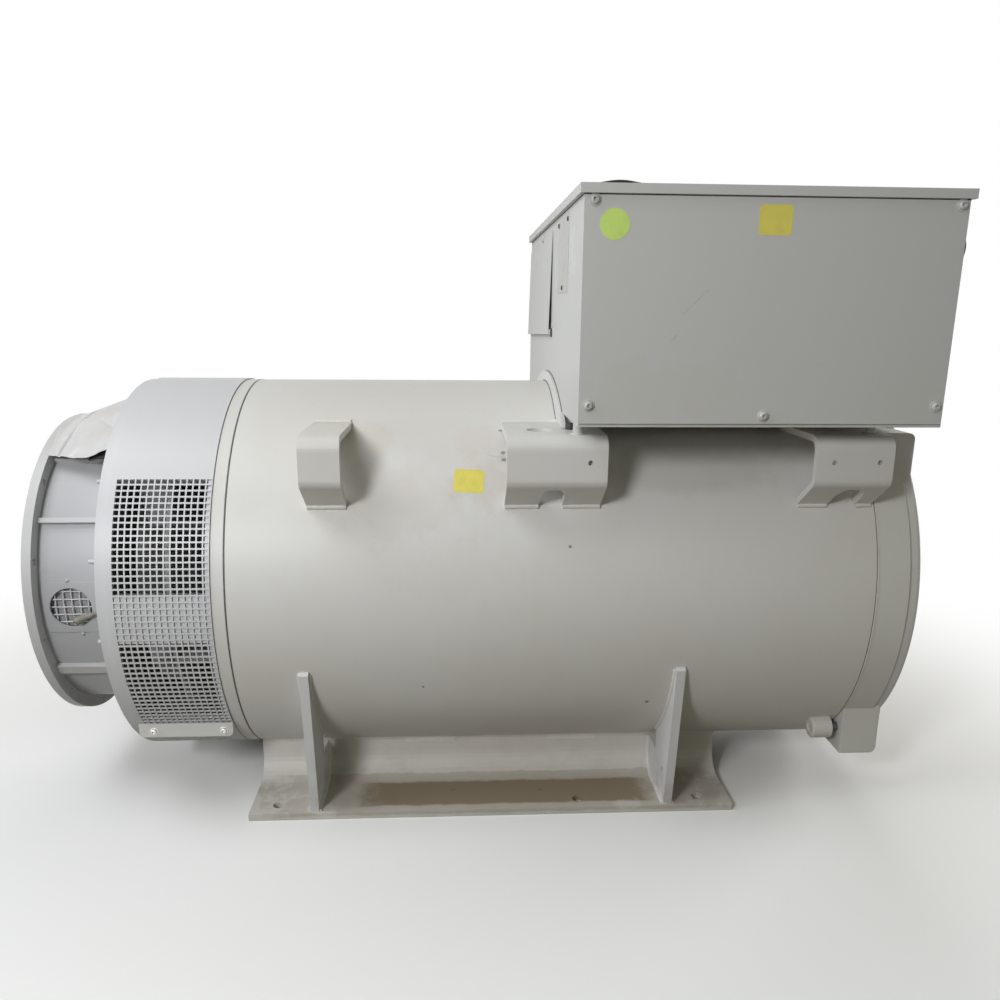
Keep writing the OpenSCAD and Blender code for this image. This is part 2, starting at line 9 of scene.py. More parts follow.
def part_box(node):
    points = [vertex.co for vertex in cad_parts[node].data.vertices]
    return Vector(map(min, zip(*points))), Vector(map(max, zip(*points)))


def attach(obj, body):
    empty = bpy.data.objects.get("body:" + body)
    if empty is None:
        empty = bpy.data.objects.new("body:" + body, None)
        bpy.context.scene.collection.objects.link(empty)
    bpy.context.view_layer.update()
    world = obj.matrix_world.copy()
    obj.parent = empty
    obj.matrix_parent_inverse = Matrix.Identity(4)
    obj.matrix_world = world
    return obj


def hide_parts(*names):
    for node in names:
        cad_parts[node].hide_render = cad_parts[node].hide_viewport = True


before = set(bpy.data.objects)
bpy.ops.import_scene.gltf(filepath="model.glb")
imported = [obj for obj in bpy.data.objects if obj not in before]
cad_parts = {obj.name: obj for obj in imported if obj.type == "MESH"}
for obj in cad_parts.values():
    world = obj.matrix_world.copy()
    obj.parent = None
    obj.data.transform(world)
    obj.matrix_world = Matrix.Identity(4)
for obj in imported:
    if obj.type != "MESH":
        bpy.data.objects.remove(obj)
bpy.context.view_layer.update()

# Machine millimetres run along the shaft from the flange face, across it, and up from its axis.
# Angles around the shaft are in degrees above the near horizontal.
MM = 0.001
FLANGE_T = 18
FLANGE_LOW, FLANGE_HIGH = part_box("drive_flange")
FACE = Vector((FLANGE_HIGH.x - FLANGE_T * MM, 0, (FLANGE_LOW.z + FLANGE_HIGH.z) / 2))
TO_ROW = Matrix.Translation(FACE) @ Matrix.Scale(MM, 4)
TO_MACHINE = TO_ROW.inverted()
ALONG = Vector((1, 0, 0))
UP = Vector((0, 0, 1))
NEAR = Vector((0, -1, 0))
SIDES = (1, -1)
CORNERS = (45, 135, 225, 315)


def machine_box(name):
    """Lowest and highest corner of a node, in machine millimetres."""
    low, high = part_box(name)
    return TO_MACHINE @ low, TO_MACHINE @ high


FRONT_PLATE = machine_box("front_plate")
SCREEN = machine_box("outlet_screen")
FRAME_RING = machine_box("frame_ring")
FRAME = machine_box("stator_frame")
SHIELD = machine_box("rear_end_shield")
CAP = machine_box("bearing_cap")
BOX = machine_box("box_front_panel")
BOX_REAR = machine_box("box_rear_panel")
LID = machine_box("box_lid")
ACCESS = machine_box("access_cover")
PLATE = machine_box("rating_plate")
POSTS = machine_box("box_posts")
FOOT = machine_box("foot_near")
GUSSETS = (machine_box("gusset_front_near"), machine_box("gusset_rear_near"))
BRACKET = machine_box("box_bracket_front_near")
REAR_BRACKET = machine_box("box_bracket_rear_near")
LUG = machine_box("lifting_lug_near")
CLAMP = machine_box("screen_clamp_near")
FRAME_R = FRAME[1].z
FOOT_T = 15
FOOT_TOP = FOOT[0].z + FOOT_T
FOOT_WEB = 191
FOOT_BEND = 50
BOX_HALF = -BOX[0].y


def outward(angle):
    """Direction that points away from the shaft."""
    turn = radians(angle)
    return Vector((0, -cos(turn), sin(turn)))


def polar(x, radius, angle):
    """Point at a distance along the shaft, a radius from it and an angle around it."""
    return Vector((x, 0, 0)) + radius * outward(angle)


def facing(place, out, along=ALONG):
    """Stand for a piece whose Z points outward and whose X runs along."""
    z = Vector(out).normalized()
    y = z.cross(Vector(along)).normalized()
    return Matrix.Translation(place) @ Matrix((y.cross(z), y, z)).transposed().to_4x4()


def around_shaft(x, radius, angle, out):
    """Stand on a face square to the shaft, its X away from the shaft."""
    return facing(polar(x, radius, angle), out, outward(angle))


def mirrored(point, side):
    """The same point on the near side for 1, or on the far side for -1."""
    return Vector((point[0], point[1] * side, point[2]))


def flipped(angle, side):
    """The same angle on the near side for 1, or on the far side for -1."""
    return angle if side > 0 else 180 - angle


def turns(count):
    """Angles once round, in radians."""
    return [tau * k / count for k in range(count)]


def held(value):
    """The value, held from 0 to 1."""
    return max(0.0, min(1.0, value))


def read_off(table, x):
    """Value at x on straight lines between a table's pairs, and its last value beyond them."""
    for (x1, y1), (x2, y2) in zip(table, table[1:]):
        if x <= x2:
            return y1 + (y2 - y1) * (x - x1) / (x2 - x1)
    return table[-1][1]


# Shapes, in machine millimetres

def join_rings(bm, rings, closed=False):
    """Skins a row of vertex rings, and caps its ends unless it closes on itself."""
    pairs = list(zip(rings, rings[1:]))
    if closed:
        pairs.append((rings[-1], rings[0]))
    for low, high in pairs:
        for k in range(max(len(low), len(high))):
            corners = (low[k % len(low)], low[(k + 1) % len(low)],
                       high[(k + 1) % len(high)], high[k % len(high)])
            corners = list(dict.fromkeys(corners))
            if len(corners) > 2:
                bm.faces.new(corners)
    if not closed:
        for ring in (rings[0], rings[-1]):
            if len(ring) > 2:
                bm.faces.new(ring)


def lathe(bm, stand, profile, sides=32, closed=False):
    """Turned piece about the Z of its stand, from pairs of radius and height."""
    rings = []
    for radius, height in profile:
        if radius == 0:
            rings.append([bm.verts.new(stand @ Vector((0, 0, height)))])
            continue
        rings.append([bm.verts.new(stand @ Vector((radius * cos(t), radius * sin(t), height)))
                      for t in turns(sides)])
    join_rings(bm, rings, closed)


def shaft_ring(bm, x, profile, sides=180):
    """Ring around the shaft, from a closed loop of pairs of radius and distance along it."""
    stand = Matrix.Translation((x, 0, 0)) @ Matrix.Rotation(pi / 2, 4, "Y")
    lathe(bm, stand, profile, sides, closed=True)


def bar(bm, path, radius, sides=10, ripple=0.0, seed=1, closed=False):
    """Round bar along a path, its radius varied a little where ripple is set."""
    wobble = random.Random(seed)
    rings = []
    normal = None
    for i, here in enumerate(path):
        before = path[i - 1] if i or closed else here
        after = path[(i + 1) % len(path)] if i < len(path) - 1 or closed else here
        along = (after - before).normalized()
        normal = along.orthogonal() if normal is None else normal - along * normal.dot(along)
        normal.normalize()
        across = along.cross(normal)
        size = radius * (1 + ripple * wobble.uniform(-1, 1))
        rings.append([bm.verts.new(here + size * (cos(t) * normal + sin(t) * across))
                      for t in turns(sides)])
    join_rings(bm, rings, closed)


def stepped(start, end, step):
    """Points from start to end, about a step apart."""
    count = max(2, round((end - start).length / step) + 1)
    return [start.lerp(end, k / (count - 1)) for k in range(count)]


def arc_path(x, radius, start, end, step):
    """Points around the shaft from one angle to another."""
    count = max(2, round(abs(radians(end - start)) * radius / step) + 1)
    return [polar(x, radius, start + (end - start) * k / (count - 1)) for k in range(count)]


def pin(bm, stand, radius, bottom, top, bevel, sides=32):
    """Round or many-sided pin, its top edge cut back by the bevel's width and depth."""
    width, depth = bevel
    lathe(bm, stand, [(0, bottom), (radius, bottom), (radius, top - depth), (radius - width, top), (0, top)],
          sides)


def hex_head(bm, stand, across, height, washer, washer_t):
    """Hexagon head with a chamfered top and a round face, on a washer."""
    edge = washer_t * 0.25
    pin(bm, stand, washer, -1, washer_t, (edge, edge))
    corner = across / sqrt(3)
    pin(bm, stand, corner, washer_t - 1, washer_t + height, (corner * 0.1, height * 0.18), 6)
    pin(bm, stand, across * 0.46, washer_t + height * 0.5, washer_t + height * 1.03,
        (across * 0.04, height * 0.07), 24)


def dome_screw(bm, stand, head, height, washer, washer_t=1.5):
    """Domed head with a round socket, on a flat washer."""
    pin(bm, stand, washer, -1, washer_t, (0.5, washer_t * 0.3))
    socket = head * 0.45
    lathe(bm, stand, [(0, washer_t - 0.5), (head, washer_t - 0.5), (head, washer_t + height * 0.35),
                      (head * 0.86, washer_t + height * 0.75), (head * 0.6, washer_t + height),
                      (socket, washer_t + height), (socket * 0.95, washer_t + height * 0.3),
                      (0, washer_t + height * 0.3)], sides=24)


def arc_slab(bm, section, start, sweep, count, side=1):
    """Slab bent around the shaft, from a loop of pairs of distance along it and radius."""
    rings = []
    for k in range(count + 1):
        angle = flipped(start + sweep * k / count, side)
        rings.append([bm.verts.new(polar(x, radius, angle)) for x, radius in section])
    join_rings(bm, rings)


def bead(bm, path, side, radius, sides=10, ripple=0.14, seed=1):
    """Rippled bead of weld along a path that is given for the near side."""
    bar(bm, [mirrored(point, side) for point in path], radius, sides, ripple, seed)


def label(bm, place, width, height, corner, thickness, rows=22):
    """Thin label with rounded corners, laid row by row over place(across, up, out)."""
    flats = []
    for k in range(rows + 1):
        up = -cos(pi * k / rows) * height / 2
        over = abs(up) - (height / 2 - corner)
        half = width / 2
        if over > 0:
            half += sqrt(max(corner * corner - over * over, 0.04)) - corner
        flats.append((half, up))
    back = -0.3
    rings = [[bm.verts.new(place(across, up, out)) for across, out in
              ((-half, back), (half, back), (half, thickness), (-half, thickness))]
             for half, up in flats]
    join_rings(bm, rings)


def round_label(bm, place, radius, thickness):
    """Thin disc, for a gauze or a cover plate."""
    label(bm, place, radius * 2, radius * 2, radius, thickness, 40)


def on_barrel(x, angle, radius=FRAME_R, tilt=0.0):
    """Place on the barrel, for a label or a mark that bends with it."""
    turn = radians(tilt)

    def place(across, up, out):
        u = across * cos(turn) - up * sin(turn)
        v = across * sin(turn) + up * cos(turn)
        return polar(x + u, radius + out, angle + degrees(v / radius))
    return place


def on_stand(stand):
    """Place on a flat face, for a label or a mark."""
    return lambda across, up, out: stand @ Vector((across, up, out))


def bands(start, centres, half, end, longest=1000):
    """Edges of solid and open bands from start to end, and which bands are open."""
    edges, opened = [start], []
    stops = [(centre + side * half, side > 0) for centre in centres for side in (-1, 1)]
    for stop, is_open in stops + [(end, False)]:
        first = edges[-1]
        count = 1 if is_open else max(1, ceil((stop - first) / longest))
        edges += [first + (stop - first) * (k + 1) / count for k in range(count)]
        opened += [is_open] * count
    return edges, opened


def perforated(bm, place, us, vs, gone):
    """Sheet over place(u, v, out) from 0 to 1 through it, without the cells that gone(i, j) names."""
    made = {}

    def corner(i, j, out):
        if (i, j, out) not in made:
            made[i, j, out] = bm.verts.new(place(us[i], vs[j], out))
        return made[i, j, out]

    def solid(i, j):
        return 0 <= i < len(us) - 1 and 0 <= j < len(vs) - 1 and not gone(i, j)

    for i in range(len(us) - 1):
        for j in range(len(vs) - 1):
            if not solid(i, j):
                continue
            loop = ((i, j), (i + 1, j), (i + 1, j + 1), (i, j + 1))
            for out in (0, 1):
                bm.faces.new([corner(*at, out) for at in loop])
            beyond = ((i, j - 1), (i + 1, j), (i, j + 1), (i - 1, j))
            for k, other in enumerate(beyond):
                if not solid(*other):
                    a, b = loop[k], loop[(k + 1) % 4]
                    bm.faces.new([corner(*a, 0), corner(*b, 0), corner(*b, 1), corner(*a, 1)])


def new_object(name, data):
    """An object in the scene that holds a mesh, a lamp or the camera."""
    made = bpy.data.objects.new(name, data)
    bpy.context.scene.collection.objects.link(made)
    return made


def add_piece(name, bm, material, stands_for=None, sharp=32):
    """Finishes a mesh made in machine millimetres and fixes it to the machine."""
    bmesh.ops.transform(bm, matrix=TO_ROW, verts=bm.verts)
    bmesh.ops.recalc_face_normals(bm, faces=bm.faces)
    mesh = bpy.data.meshes.new(name)
    bm.to_mesh(mesh)
    bm.free()
    mesh.materials.append(material)
    mesh.polygons.foreach_set("use_smooth", [True] * len(mesh.polygons))
    mesh.set_sharp_from_angle(angle=radians(sharp))
    piece = new_object(name, mesh)
    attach(piece, "root")
    if stands_for:
        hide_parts(stands_for)
    return piece


def add_copies(name, material, slot, stands, shape, *sizes):
    """A piece made of one shape, repeated at every stand."""
    bm = bmesh.new()
    for stand in stands:
        shape(bm, stand, *sizes)
    add_piece(name, bm, material)


# Shader node groups

def new_group(name, inputs, outputs):
    """An empty group with named sockets, what it is given and what it gives."""
    tree = bpy.data.node_groups.new(name, "ShaderNodeTree")
    for title, kind, value in inputs:
        socket = tree.interface.new_socket(title, in_out="INPUT", socket_type="NodeSocket" + kind)
        socket.default_value = value
    for title, kind in outputs:
        tree.interface.new_socket(title, in_out="OUTPUT", socket_type="NodeSocket" + kind)
    return tree, tree.nodes.new("NodeGroupInput").outputs, tree.nodes.new("NodeGroupOutput").inputs


def fill(socket, value):
    """Links a socket to another node's output, or sets its value, an opaque one for a colour."""
    if hasattr(value, "is_output"):
        socket.id_data.links.new(value, socket)
    elif socket.type == "RGBA":
        socket.default_value = (*value, 1)
    else:
        socket.default_value = value


def node(tree, kind, values=None, **settings):
    """A node with its sockets filled from values and its options from settings."""
    made = tree.nodes.new("ShaderNode" + kind)
    for key, value in settings.items():
        setattr(made, key, value)
    for key, value in (values or {}).items():
        fill(made.inputs[key], value)
    return made


def home(values):
    """The node tree of the sockets among the values."""
    return next(value.id_data for value in values if hasattr(value, "is_output"))


def math_node(operation, *values):
    return node(home(values), "Math", dict(enumerate(values)), operation=operation).outputs[0]


def vector_node(operation, *values):
    return node(home(values), "VectorMath", dict(enumerate(values)), operation=operation)


def times(a, b):
    return math_node("MULTIPLY", a, b)


def plus(a, b):
    return math_node("ADD", a, b)


def ramp(factor, low, high):
    """The factor spread from low..high onto 0..1, and held there."""
    values = {"Value": factor, "From Min": low, "From Max": high}
    return node(factor.id_data, "MapRange", values, interpolation_type="SMOOTHSTEP").outputs["Result"]


def blend_colour(factor, a, b):
    """The colour a where the factor is 0, and b where it is 1."""
    made = node(factor.id_data, "Mix", data_type="RGBA")
    for index, value in ((0, factor), (6, a), (7, b)):
        fill(made.inputs[index], value)
    return made.outputs[2]


def own_place(tree):
    return node(tree, "TexCoord").outputs["Object"]


def own_normal(tree):
    return node(tree, "NewGeometry").outputs["Normal"]


def axes(vector):
    """The X, Y and Z of a vector."""
    return node(vector.id_data, "SeparateXYZ", {"Vector": vector}).outputs


def away_from(tree, place):
    """Vector from a place to the piece's own."""
    return vector_node("SUBTRACT", own_place(tree), place).outputs["Vector"]


def mottle(tree, scale, detail=3.0, rough=0.55, stretch=(1, 1, 1), seed=0.0):
    """Noise over the piece's own coordinates, stretched and shifted, from 0 to 1."""
    shift = (seed, seed * 0.7, seed * 1.3)
    mapped = node(tree, "Mapping", {"Vector": own_place(tree), "Location": shift, "Scale": stretch})
    values = {"Vector": mapped.outputs["Vector"], "Scale": scale, "Detail": detail, "Roughness": rough}
    return node(tree, "TexNoise", values).outputs["Fac"]


def make_worn_edges():
    """Rounds the shading of sharp edges and gives a mask of where they are rubbed."""
    tree, given, result = new_group("worn_edges", [("Radius", "Float", 0.0015), ("Wear", "Float", 0.5)],
                                    [("Normal", "Vector"), ("Edge", "Float")])
    rounded = node(tree, "Bevel", {"Radius": given["Radius"]}, samples=4).outputs["Normal"]
    edge = ramp(vector_node("DOT_PRODUCT", rounded, own_normal(tree)).outputs["Value"], 0.995, 0.86)
    patchy = ramp(mottle(tree, 38, 4), 0.46, 0.66)
    fill(result["Normal"], rounded)
    fill(result["Edge"], times(times(edge, patchy), given["Wear"]))
    return tree


def make_tone_and_dust():
    """Clouds of a second tone, runs down the sides, fine dust on what faces up, and splashes low down."""
    tree, given, result = new_group(
        "tone_and_dust",
        [("Paint", "Color", (0.6, 0.6, 0.6, 1)), ("Tint", "Color", (0.55, 0.52, 0.47, 1)),
         ("Dust", "Color", (0.60, 0.56, 0.50, 1)), ("Dirt", "Color", (0.24, 0.20, 0.15, 1)),
         ("Tone", "Float", 0.5), ("Dusting", "Float", 0.3), ("Splash", "Float", 0.3)],
        [("Color", "Color"), ("Mask", "Float")])
    clouds = ramp(mottle(tree, 2.4, 3, 0.5), 0.36, 0.70)
    blots = ramp(mottle(tree, 13, 5, 0.62, seed=3.0), 0.46, 0.76)
    runs = ramp(mottle(tree, 18, 3, 0.5, (1, 1, 0.12), seed=6.0), 0.52, 0.78)
    mixed = plus(times(clouds, 0.55), plus(times(blots, 0.25), times(runs, 0.2)))
    toned = blend_colour(times(mixed, given["Tone"]), given["Paint"], given["Tint"])
    facing_up = ramp(axes(own_normal(tree))["Z"], 0.4, 1.0)
    grains = plus(times(ramp(mottle(tree, 70, 6, 0.65, seed=5.0), 0.4, 0.75), 0.6), 0.4)
    dust = times(times(facing_up, grains), given["Dusting"])
    dusted = blend_colour(dust, toned, given["Dust"])
    low_down = ramp(axes(own_place(tree))["Z"], 0.16, 0.0)
    spots = ramp(mottle(tree, 17, 6, 0.7, seed=8.0), 0.42, 0.7)
    splash = times(times(low_down, spots), given["Splash"])
    fill(result["Color"], blend_colour(splash, dusted, given["Dirt"]))
    fill(result["Mask"], plus(dust, splash))
    return tree


def make_sprayed_skin():
    """Height of sprayed enamel, a fine ripple over a slow waviness."""
    tree, given, result = new_group("sprayed_skin", [("Ripple", "Float", 0.5), ("Wave", "Float", 0.3)],
                                    [("Height", "Float")])
    ripple = times(mottle(tree, 420, 2, 0.5), given["Ripple"])
    wave = times(mottle(tree, 26, 2, 0.5, seed=2.0), given["Wave"])
    fill(result["Height"], plus(ripple, wave))
    return tree


def make_stain():
    """Mask of a ragged patch around a place, with a reach along each axis in metres, round or square."""
    tree, given, result = new_group(
        "stain", [("Place", "Vector", (0, 0, 0)), ("Reach", "Vector", (0.1, 0.1, 0.1)),
                  ("Ragged", "Float", 0.8), ("Amount", "Float", 0.5), ("Square", "Float", 0.0)],
        [("Mask", "Float")])
    away = away_from(tree, given["Place"])
    shares = vector_node("DIVIDE", away, given["Reach"]).outputs["Vector"]
    square = given["Square"]
    parts = axes(vector_node("ABSOLUTE", shares).outputs["Vector"])
    widest = math_node("MAXIMUM", parts["X"], math_node("MAXIMUM", parts["Y"], parts["Z"]))
    round_off = math_node("SUBTRACT", 1.0, square)
    distance = times(vector_node("LENGTH", shares).outputs["Value"], round_off)
    distance = plus(distance, times(widest, square))
    noise = plus(mottle(tree, 24, 6, 0.65, seed=11.0), -0.5)
    ragged = plus(distance, times(noise, times(given["Ragged"], 3.0)))
    full = plus(times(square, 0.35), 0.45)
    fill(result["Mask"], times(ramp(ragged, 1.0, full), given["Amount"]))
    return tree


def make_scratch():
    """Mask of a broken thin line between two places, in metres."""
    tree, given, result = new_group(
        "scratch", [("From", "Vector", (0, 0, 0)), ("To", "Vector", (0, 0, 1)), ("Width", "Float", 0.001),
                    ("Amount", "Float", 0.5)], [("Mask", "Float")])
    reach = vector_node("SUBTRACT", given["To"], given["From"]).outputs["Vector"]
    away = away_from(tree, given["From"])
    share = math_node("DIVIDE", vector_node("DOT_PRODUCT", away, reach).outputs["Value"],
                      vector_node("DOT_PRODUCT", reach, reach).outputs["Value"])
    share = math_node("MINIMUM", math_node("MAXIMUM", share, 0.0), 1.0)
    nearest = node(tree, "VectorMath", {0: reach, "Scale": share}, operation="SCALE").outputs["Vector"]
    gap = vector_node("LENGTH", vector_node("SUBTRACT", away, nearest).outputs["Vector"])
    line = ramp(math_node("DIVIDE", gap.outputs["Value"], given["Width"]), 1.0, 0.3)
    broken = ramp(mottle(tree, 90, 4, 0.6, seed=4.0), 0.34, 0.52)
    fill(result["Mask"], times(times(line, broken), given["Amount"]))
    return tree


WORN_EDGES = make_worn_edges()
TONE_AND_DUST = make_tone_and_dust()
SPRAYED_SKIN = make_sprayed_skin()
STAIN = make_stain()
SCRATCH = make_scratch()


def placed_group(tree, group, values):
    """A group placed in a material, with its own values."""
    made = tree.nodes.new("ShaderNodeGroup")
    made.node_tree = group
    for key, value in values.items():
        fill(made.inputs[key], value)
    return made.outputs


# Materials

def new_material(name, metal=0.0, specular=0.5):
    """A material, its node tree and its shader's sockets."""
    material = bpy.data.materials.new(name)
    material.use_nodes = True
    shader = material.node_tree.nodes["Principled BSDF"]
    shader.inputs["Metallic"].default_value = metal
    shader.inputs["Specular IOR Level"].default_value = specular
    return material, material.node_tree, shader.inputs


def dress(shader, colour, matt, mask, dulling, height, strength, distance, normal=None):
    """Gives a shader its colour, its bump and a roughness that rises by the dulling under the mask."""
    fill(shader["Base Color"], colour)
    fill(shader["Roughness"], plus(times(mask, dulling), matt))
    values = {"Height": height, "Strength": strength, "Distance": distance}
    if normal is not None:
        values["Normal"] = normal
    fill(shader["Normal"], node(height.id_data, "Bump", values).outputs["Normal"])


def add_marks(colour, marks):
    """Lays stains over a colour, each as (place, reach, colour, amount, ragged) in millimetres.

    A sixth value of 1 makes the patch square.
    """
    for place, reach, tint, amount, ragged, *square in marks:
        values = {"Place": TO_ROW @ Vector(place), "Reach": Vector(reach) * MM, "Ragged": ragged,
                  "Amount": amount, "Square": square[0] if square else 0.0}
        colour = blend_colour(placed_group(colour.id_data, STAIN, values)["Mask"], colour, tint)
    return colour


def add_scratches(colour, scratches):
    """Lays scratches over a colour, each as (from, to, width, colour, amount) in millimetres."""
    for start, end, width, tint, amount in scratches:
        values = {"From": TO_ROW @ Vector(start), "To": TO_ROW @ Vector(end), "Width": width * MM,
                  "Amount": amount}
        colour = blend_colour(placed_group(colour.id_data, SCRATCH, values)["Mask"], colour, tint)
    return colour


def nearer_than(tree, radius):
    """Mask of what is nearer the shaft than a radius in millimetres."""
    away = away_from(tree, FACE)
    across = vector_node("MULTIPLY", away, (0, 1, 1)).outputs["Vector"]
    distance = vector_node("LENGTH", across).outputs["Value"]
    return ramp(distance, (radius + 1) * MM, (radius - 1) * MM)


def facing_rear(tree):
    """Mask of what faces away from the drive end."""
    return ramp(axes(own_normal(tree))["X"], 0.6, 0.8)


def enamel(name, paint, tint, tone=0.5, dusting=0.25, splash=0.0, matt=0.44, wear=0.3, radius=0.0015,
           bare=(0.40, 0.38, 0.35), skin=0.12, marks=(), scratches=(), inside=None):
    """Sprayed machine enamel with soft edges, clouds of tone, dust, splashes and its own marks.

    What inside(tree) gives as a mask is painted near-black, as painted shade for the dark inside.
    """
    material, tree, shader = new_material(name, specular=0.4)
    edges = placed_group(tree, WORN_EDGES, {"Radius": radius, "Wear": wear})
    tones = placed_group(tree, TONE_AND_DUST, {"Paint": paint, "Tint": tint, "Tone": tone,
                                               "Dusting": dusting, "Splash": splash})
    height = placed_group(tree, SPRAYED_SKIN, {"Ripple": 0.35, "Wave": 0.5})["Height"]
    colour = add_scratches(add_marks(tones["Color"], marks), scratches)
    if inside:
        # Painted shade: the inside goes near-black.
        colour = blend_colour(inside(tree), colour, INSIDE_SHADE)
    colour = blend_colour(edges["Edge"], colour, bare)
    dress(shader, colour, matt, tones["Mask"], 0.35, height, skin, 0.0006, edges["Normal"])
    return material


BEIGE = (0.55, 0.47, 0.37)
PINK = (0.60, 0.50, 0.45)
OLIVE = (0.26, 0.25, 0.16)
BROWN = (0.30, 0.25, 0.18)
SOIL = (0.235, 0.185, 0.125)
PALE = (0.74, 0.73, 0.70)
DARK = (0.12, 0.11, 0.10)
# Near-black painted shade for insides that are seen through openings.
INSIDE_SHADE = (0.045, 0.045, 0.045)
RUBBED_METAL = (0.75, 0.74, 0.72)


def at(x, angle):
    """Place of a mark on the barrel."""
    return polar(x, FRAME_R, angle)


def barrel_enamel():
    marks = [
        (at(640, 50), (90, 60, 60), BEIGE, 0.22, 0.9), (at(700, 30), (150, 90, 90), BEIGE, 0.14, 1.0),
        (at(850, 50), (75, 45, 45), PINK, 0.20, 0.8), (at(880, 36), (80, 60, 60), BEIGE, 0.25, 1.0),
        # The olive patch at 1250 mm and 40 degrees is painted shade under the box.
        (at(800, 12), (140, 60, 80), BEIGE, 0.10, 1.0), (at(1250, 40), (240, 90, 60), OLIVE, 0.22, 0.2),
        (at(904, 53.4), (9, 5, 5), DARK, 0.7, 0.5), (at(905, 45.4), (6, 5, 5), DARK, 0.7, 0.5),
        (at(906, 43.1), (6, 5, 5), DARK, 0.7, 0.5), (at(1025, 18.3), (4, 4, 4), DARK, 0.8, 0.3),
        (at(749, -22.9), (7, 7, 7), PALE, 0.8, 0.4), (at(749, -22.9), (3.6, 3.6, 3.6), DARK, 0.9, 0.3),
        (at(1193.5, -31.1), (4.5, 4.5, 4.5), DARK, 0.9, 0.4),
    ]
    return enamel("barrel_enamel", (0.67, 0.665, 0.65), (0.60, 0.57, 0.50), tone=0.55, dusting=0.2, wear=0.2,
                  marks=marks)


def housing_enamel():
    return enamel("housing_enamel", (0.67, 0.665, 0.65), (0.58, 0.55, 0.48), tone=0.45, splash=0.3)


def foot_enamel():
    """Splashed foot, with the soil that lies on its plate, and olive painted shadow on the web beside each
    gusset.
    """
    marks = [
        ((921, -285, FOOT_TOP), (325, 51, 12), SOIL, 1.0, 0.10, 1.0),
        ((894, -290, FOOT_TOP), (520, 110, 9), BROWN, 0.38, 0.35, 1.0),
        ((542, -339, FOOT_TOP), (40, 30, 30), PALE, 0.5, 0.8),
        ((1161, -345, FOOT_TOP), (35, 20, 20), PALE, 0.4, 1.0),
        ((804, -273, FOOT_TOP), (10, 7, 8), DARK, 0.5, 0.5),
        ((989, -281, FOOT_TOP), (8, 6, 8), DARK, 0.5, 0.5),
        # Painted shadow: olive patches on the web where each gusset's shadow falls.
        ((556, -200, -395), (30, 70, 56), OLIVE, 0.4, 0.3),
        ((1274, -200, -395), (30, 70, 56), OLIVE, 0.4, 0.3),
    ]
    return enamel("foot_enamel", (0.63, 0.615, 0.585), (0.50, 0.46, 0.39), dusting=0.3, splash=0.15, matt=0.5,
                  wear=0.5, bare=(0.34, 0.30, 0.26), marks=marks)


def gusset_enamel():
    return enamel("gusset_enamel", (0.66, 0.665, 0.685), (0.58, 0.565, 0.53), tone=0.45, dusting=0.2,
                  splash=0.4, matt=0.46, wear=0.35, marks=[((1237, -324, -367), (8, 8, 8), DARK, 0.5, 0.5)])


def shield_enamel():
    return enamel("shield_enamel", (0.66, 0.66, 0.64), (0.55, 0.53, 0.47), splash=0.2, matt=0.48,
                  radius=0.0035, skin=0.35)


# Nearer the shaft than 290 mm the flange is painted near-black, as painted shade.
def flange_enamel():
    return enamel("flange_enamel", (0.53, 0.53, 0.54), (0.47, 0.47, 0.465), tone=0.4, matt=0.42, wear=0.4,
                  inside=lambda tree: nearer_than(tree, 290))


# Nearer the shaft than 294 mm the covers are painted near-black, as painted shade.
def cover_enamel():
    return enamel("cover_enamel", (0.43, 0.435, 0.455), (0.385, 0.385, 0.39), tone=0.4, matt=0.42, wear=0.4,
                  inside=lambda tree: nearer_than(tree, 294))


def screen_enamel(name="screen_enamel", inside=None):
    return enamel(name, (0.59, 0.595, 0.615), (0.54, 0.54, 0.545), tone=0.35, dusting=0.15, matt=0.40,
                  wear=0.1, radius=0.0006, inside=inside)


# Nearer the shaft than 388 mm the outlet barrel is painted near-black, as painted shade.
def barrel_window_enamel():
    return screen_enamel("outlet_enamel", lambda tree: nearer_than(tree, 388))


# The front plate's face towards the rear is painted near-black, as painted shade.
def front_plate_enamel():
    return screen_enamel("front_plate_enamel", facing_rear)


def clamp_enamel():
    return enamel("clamp_enamel", (0.66, 0.66, 0.65), (0.52, 0.49, 0.44), tone=0.6, dusting=0.3, wear=0.8)


def box_coat():
    near = -BOX_HALF
    marks = [
        ((1030, -96, 569), (6, 14, 10), DARK, 0.35, 0.8), ((1018, 298, 660), (8, 8, 8), DARK, 0.3, 0.5),
        ((1300, near, BOX[0].z + 4), (400, 8, 4), OLIVE, 0.35, 0.3),
        ((1120, near, 420), (160, 10, 60), BEIGE, 0.06, 1.0),
    ]
    scratches = [
        ((1223, near, 580), (1186, near, 544), 1.6, (0.42, 0.41, 0.40), 0.8),
        ((1176, near, 508), (1168, near, 500), 1.8, (0.42, 0.41, 0.40), 0.8),
        ((1400, near, 470), (1424, near, 462), 0.9, (0.50, 0.49, 0.47), 0.6),
    ]
    return enamel("box_coat", (0.56, 0.565, 0.555), (0.53, 0.525, 0.50), tone=0.35, dusting=0.2, matt=0.5,
                  wear=0.15, radius=0.0012, marks=marks, scratches=scratches)


def weld_metal():
    """Painted weld bead, smoother and paler on its ripples than the plate beside it."""
    return enamel("weld_enamel", (0.68, 0.675, 0.65), (0.56, 0.53, 0.46), dusting=0.1, splash=0.3, matt=0.36,
                  wear=0.0, radius=0.0006, skin=0.5)


